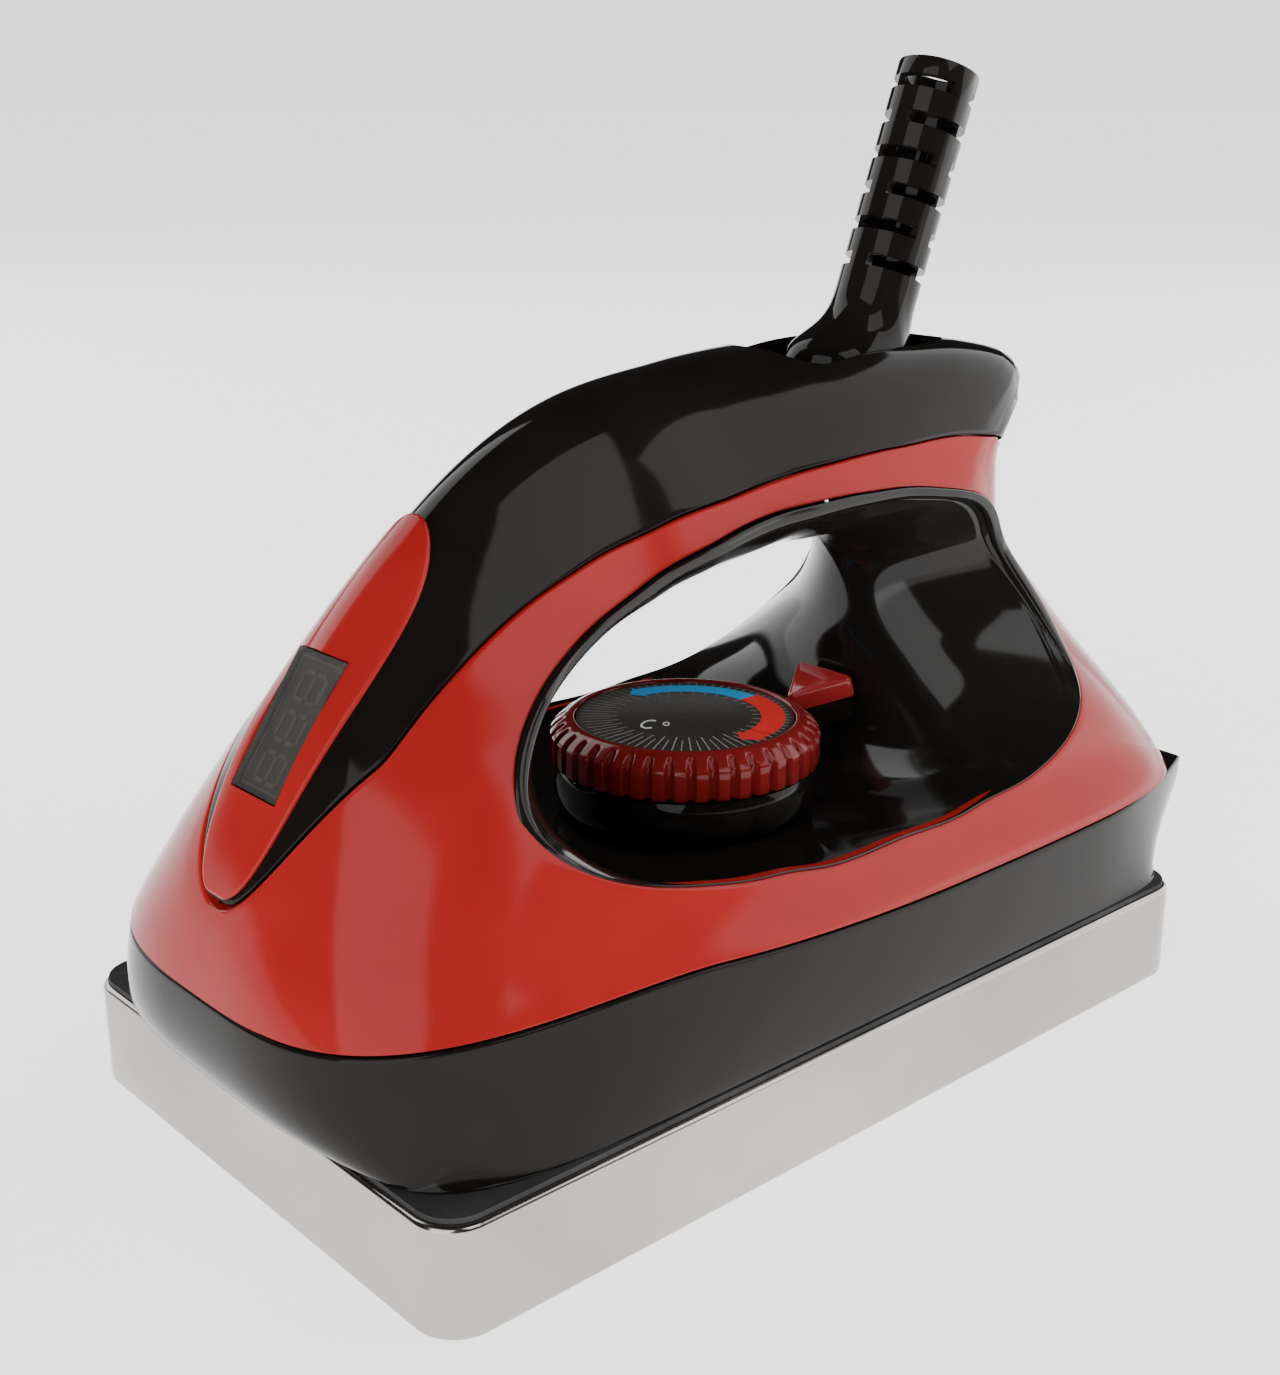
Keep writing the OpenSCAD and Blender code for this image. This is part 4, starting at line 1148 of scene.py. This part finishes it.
# -------- pieces
finish_piece(main_shell(), RED, "red_gloss", "main_shell")
finish_piece(handle_cover(), BLACK, "black_gloss", "handle_cover")
finish_piece(rear_cover(), BLACK, "black_gloss", "rear_cover")
finish_piece(display_bezel(), RED, "red_gloss", "display_bezel")
finish_piece(grip_liner(), LINER, "black_liner", "grip_liner")
finish_piece(lower_skirt(), BLACK, "black_gloss", "lower_skirt")
finish_piece(base_plate(), SOLE, "sole_aluminium", "base_plate")
finish_piece(dial_pedestal(), BLACK, "black_gloss", "dial_pedestal")
finish_piece(dial_ring(), DIAL_RED, "dial_red", "dial_knob", body="dial")
finish_piece(dial_disc(), DISC, "dial_print", "dial_face", body="dial")
finish_piece(flat_print("dial_ticks", dial_ticks(), 0.02), PRINT_GREY, "dial_print", body="dial")
blue_arrow = arc_arrow(ARROW_R, 0.89 * FACE_R, 89, 178, 9)
finish_piece(flat_print("dial_arrow_blue", blue_arrow), PRINT_BLUE, "dial_print", body="dial")
red_arrow = arc_arrow(ARROW_R, 0.92 * FACE_R, 88.5, -6, 10)
finish_piece(flat_print("dial_arrow_red", red_arrow), PRINT_RED, "dial_print", body="dial")
finish_piece(flat_print("dial_degree_mark", degree_mark()), PRINT_WHITE, "dial_print", body="dial")
finish_piece(indicator_lens(), LENS, "lens_red", "indicator_lens")
finish_piece(cord_guard(), BLACK, "black_gloss", "cord_guard", body="guard")
finish_piece(display_digits(), LCD_MARK, "lcd_grey")
finish_piece(guard_scoop(), BLACK, "black_gloss")
finish_piece(guard_surround(), BLACK, "black_gloss")

# -------- carried-over CAD nodes
NODES_BY_MATERIAL = [
    (ELEMENT, ["heating_element"]),
    (BRASS, ["element_terminals", "ground_lug"]),
    (GASKET, ["heat_gasket"]),
    (CHASSIS, ["chassis_frame"]),
    (STEEL, ["plate_screws", "rear_cover_screws", "dial_shaft", "shaft_clip", "board_standoffs",
             "board_screws", "sensor_clip", "guard_pin", "clamp_screws"]),
    (LINER, ["heel_tray"]),
    (BLACK, ["lens_holder", "guard_socket"]),
    (POT, ["potentiometer", "filter_capacitor"]),
    (LED, ["indicator_led"]),
    (WINDOW, ["display_window"]),
    (LCD, ["display_module"]),
    (BOARD, ["display_board", "control_board"]),
    (CHIP, ["power_triac", "cord_clamp"]),
    (HEATSINK, ["triac_heatsink"]),
    (CERAMIC, ["temperature_sensor", "thermal_fuse", "terminal_block"]),
    (WIRE, ["mains_wires"]),
    (PALE_WIRE, ["heater_wires", "ribbon_cable"]),
]
for material, node_names in NODES_BY_MATERIAL:
    for node_name in node_names:
        for material_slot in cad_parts[node_name].material_slots:
            material_slot.material = material


# -------- stage, lights and camera
FLOOR_GLOW = 1.8
AIM = np.array([0, 0, 0.05])
SOFTBOX_DISTANCE = 1.5


def floor():
    """Plain pale floor that glows evenly, so that it has almost no shadow."""
    half = 25 / MM
    corners = [(-half, -half, 0), (half, -half, 0), (half, half, 0), (-half, half, 0)]
    obj = make_object("floor", corners, [(0, 1, 2, 3)])
    material, _, _, shader = new_material("floor_paint")
    shader.inputs["Base Color"].default_value = (0.8, 0.8, 0.8, 1)
    shader.inputs["Roughness"].default_value = 0.9
    shader.inputs["Specular IOR Level"].default_value = 0.0
    shader.inputs["Emission Color"].default_value = (1, 1, 1, 1)
    shader.inputs["Emission Strength"].default_value = FLOOR_GLOW
    obj.data.materials.append(material)


def softbox(name, turn, tilt, width, height, radiance):
    """Rectangular light towards the object. turn is from the nose towards +X, tilt is upwards."""
    a, e = math.radians(turn), math.radians(tilt)
    away = np.array([math.sin(a) * math.cos(e), -math.cos(a) * math.cos(e), math.sin(e)])
    place = Vector(SOFTBOX_DISTANCE * away + AIM)
    data = bpy.data.lights.new(name, "AREA")
    data.shape = "RECTANGLE"
    data.size = width
    data.size_y = height
    data.energy = math.pi * width * height * radiance
    obj = bpy.data.objects.new(name, data)
    obj.location = place
    obj.rotation_euler = (Vector(AIM) - place).to_track_quat("-Z", "Y").to_euler()
    bpy.context.scene.collection.objects.link(obj)


def camera():
    """Camera on the nose's +X side, looking down a little."""
    azimuth = math.radians(48.22)
    elevation = math.radians(17.86)
    data = bpy.data.cameras.new("camera")
    data.sensor_fit = "VERTICAL"
    data.sensor_height = 36
    data.lens = 47.59
    data.clip_start = 0.01
    obj = bpy.data.objects.new("camera", data)
    back = Vector((math.sin(azimuth) * math.cos(elevation),
                   -math.cos(azimuth) * math.cos(elevation), math.sin(elevation)))
    right = Vector((math.cos(azimuth), math.sin(azimuth), 0))
    up = back.cross(right)
    obj.matrix_world = Matrix((right, up, back)).transposed().to_4x4()
    obj.location = (0.19658, -0.18136, 0.14254)
    bpy.context.scene.collection.objects.link(obj)
    bpy.context.scene.camera = obj


def studio_world():
    """White to just above the horizon, and dark over that."""
    world = bpy.data.worlds.new("studio")
    world.use_nodes = True
    nodes, links = world.node_tree.nodes, world.node_tree.links
    coords = nodes.new("ShaderNodeTexCoord")
    split = nodes.new("ShaderNodeSeparateXYZ")
    shade = nodes.new("ShaderNodeValToRGB")
    colour_steps(shade, (0.07, [FLOOR_GLOW] * 3), (0.12, [0.03] * 3))
    links.new(coords.outputs["Generated"], split.inputs["Vector"])
    links.new(split.outputs["Z"], shade.inputs["Fac"])
    links.new(shade.outputs["Color"], nodes["Background"].inputs["Color"])
    bpy.context.scene.world = world


studio_world()
floor()
softbox("nose_window", 24, 24, 1.1, 1.4, 2.8)
softbox("side_window", 98, 48, 0.7, 0.7, 3.0)
softbox("heel_window", 158, 22, 1.7, 1.5, 2.8)
softbox("far_window", -80, 34, 1.0, 1.3, 3.0)
camera()
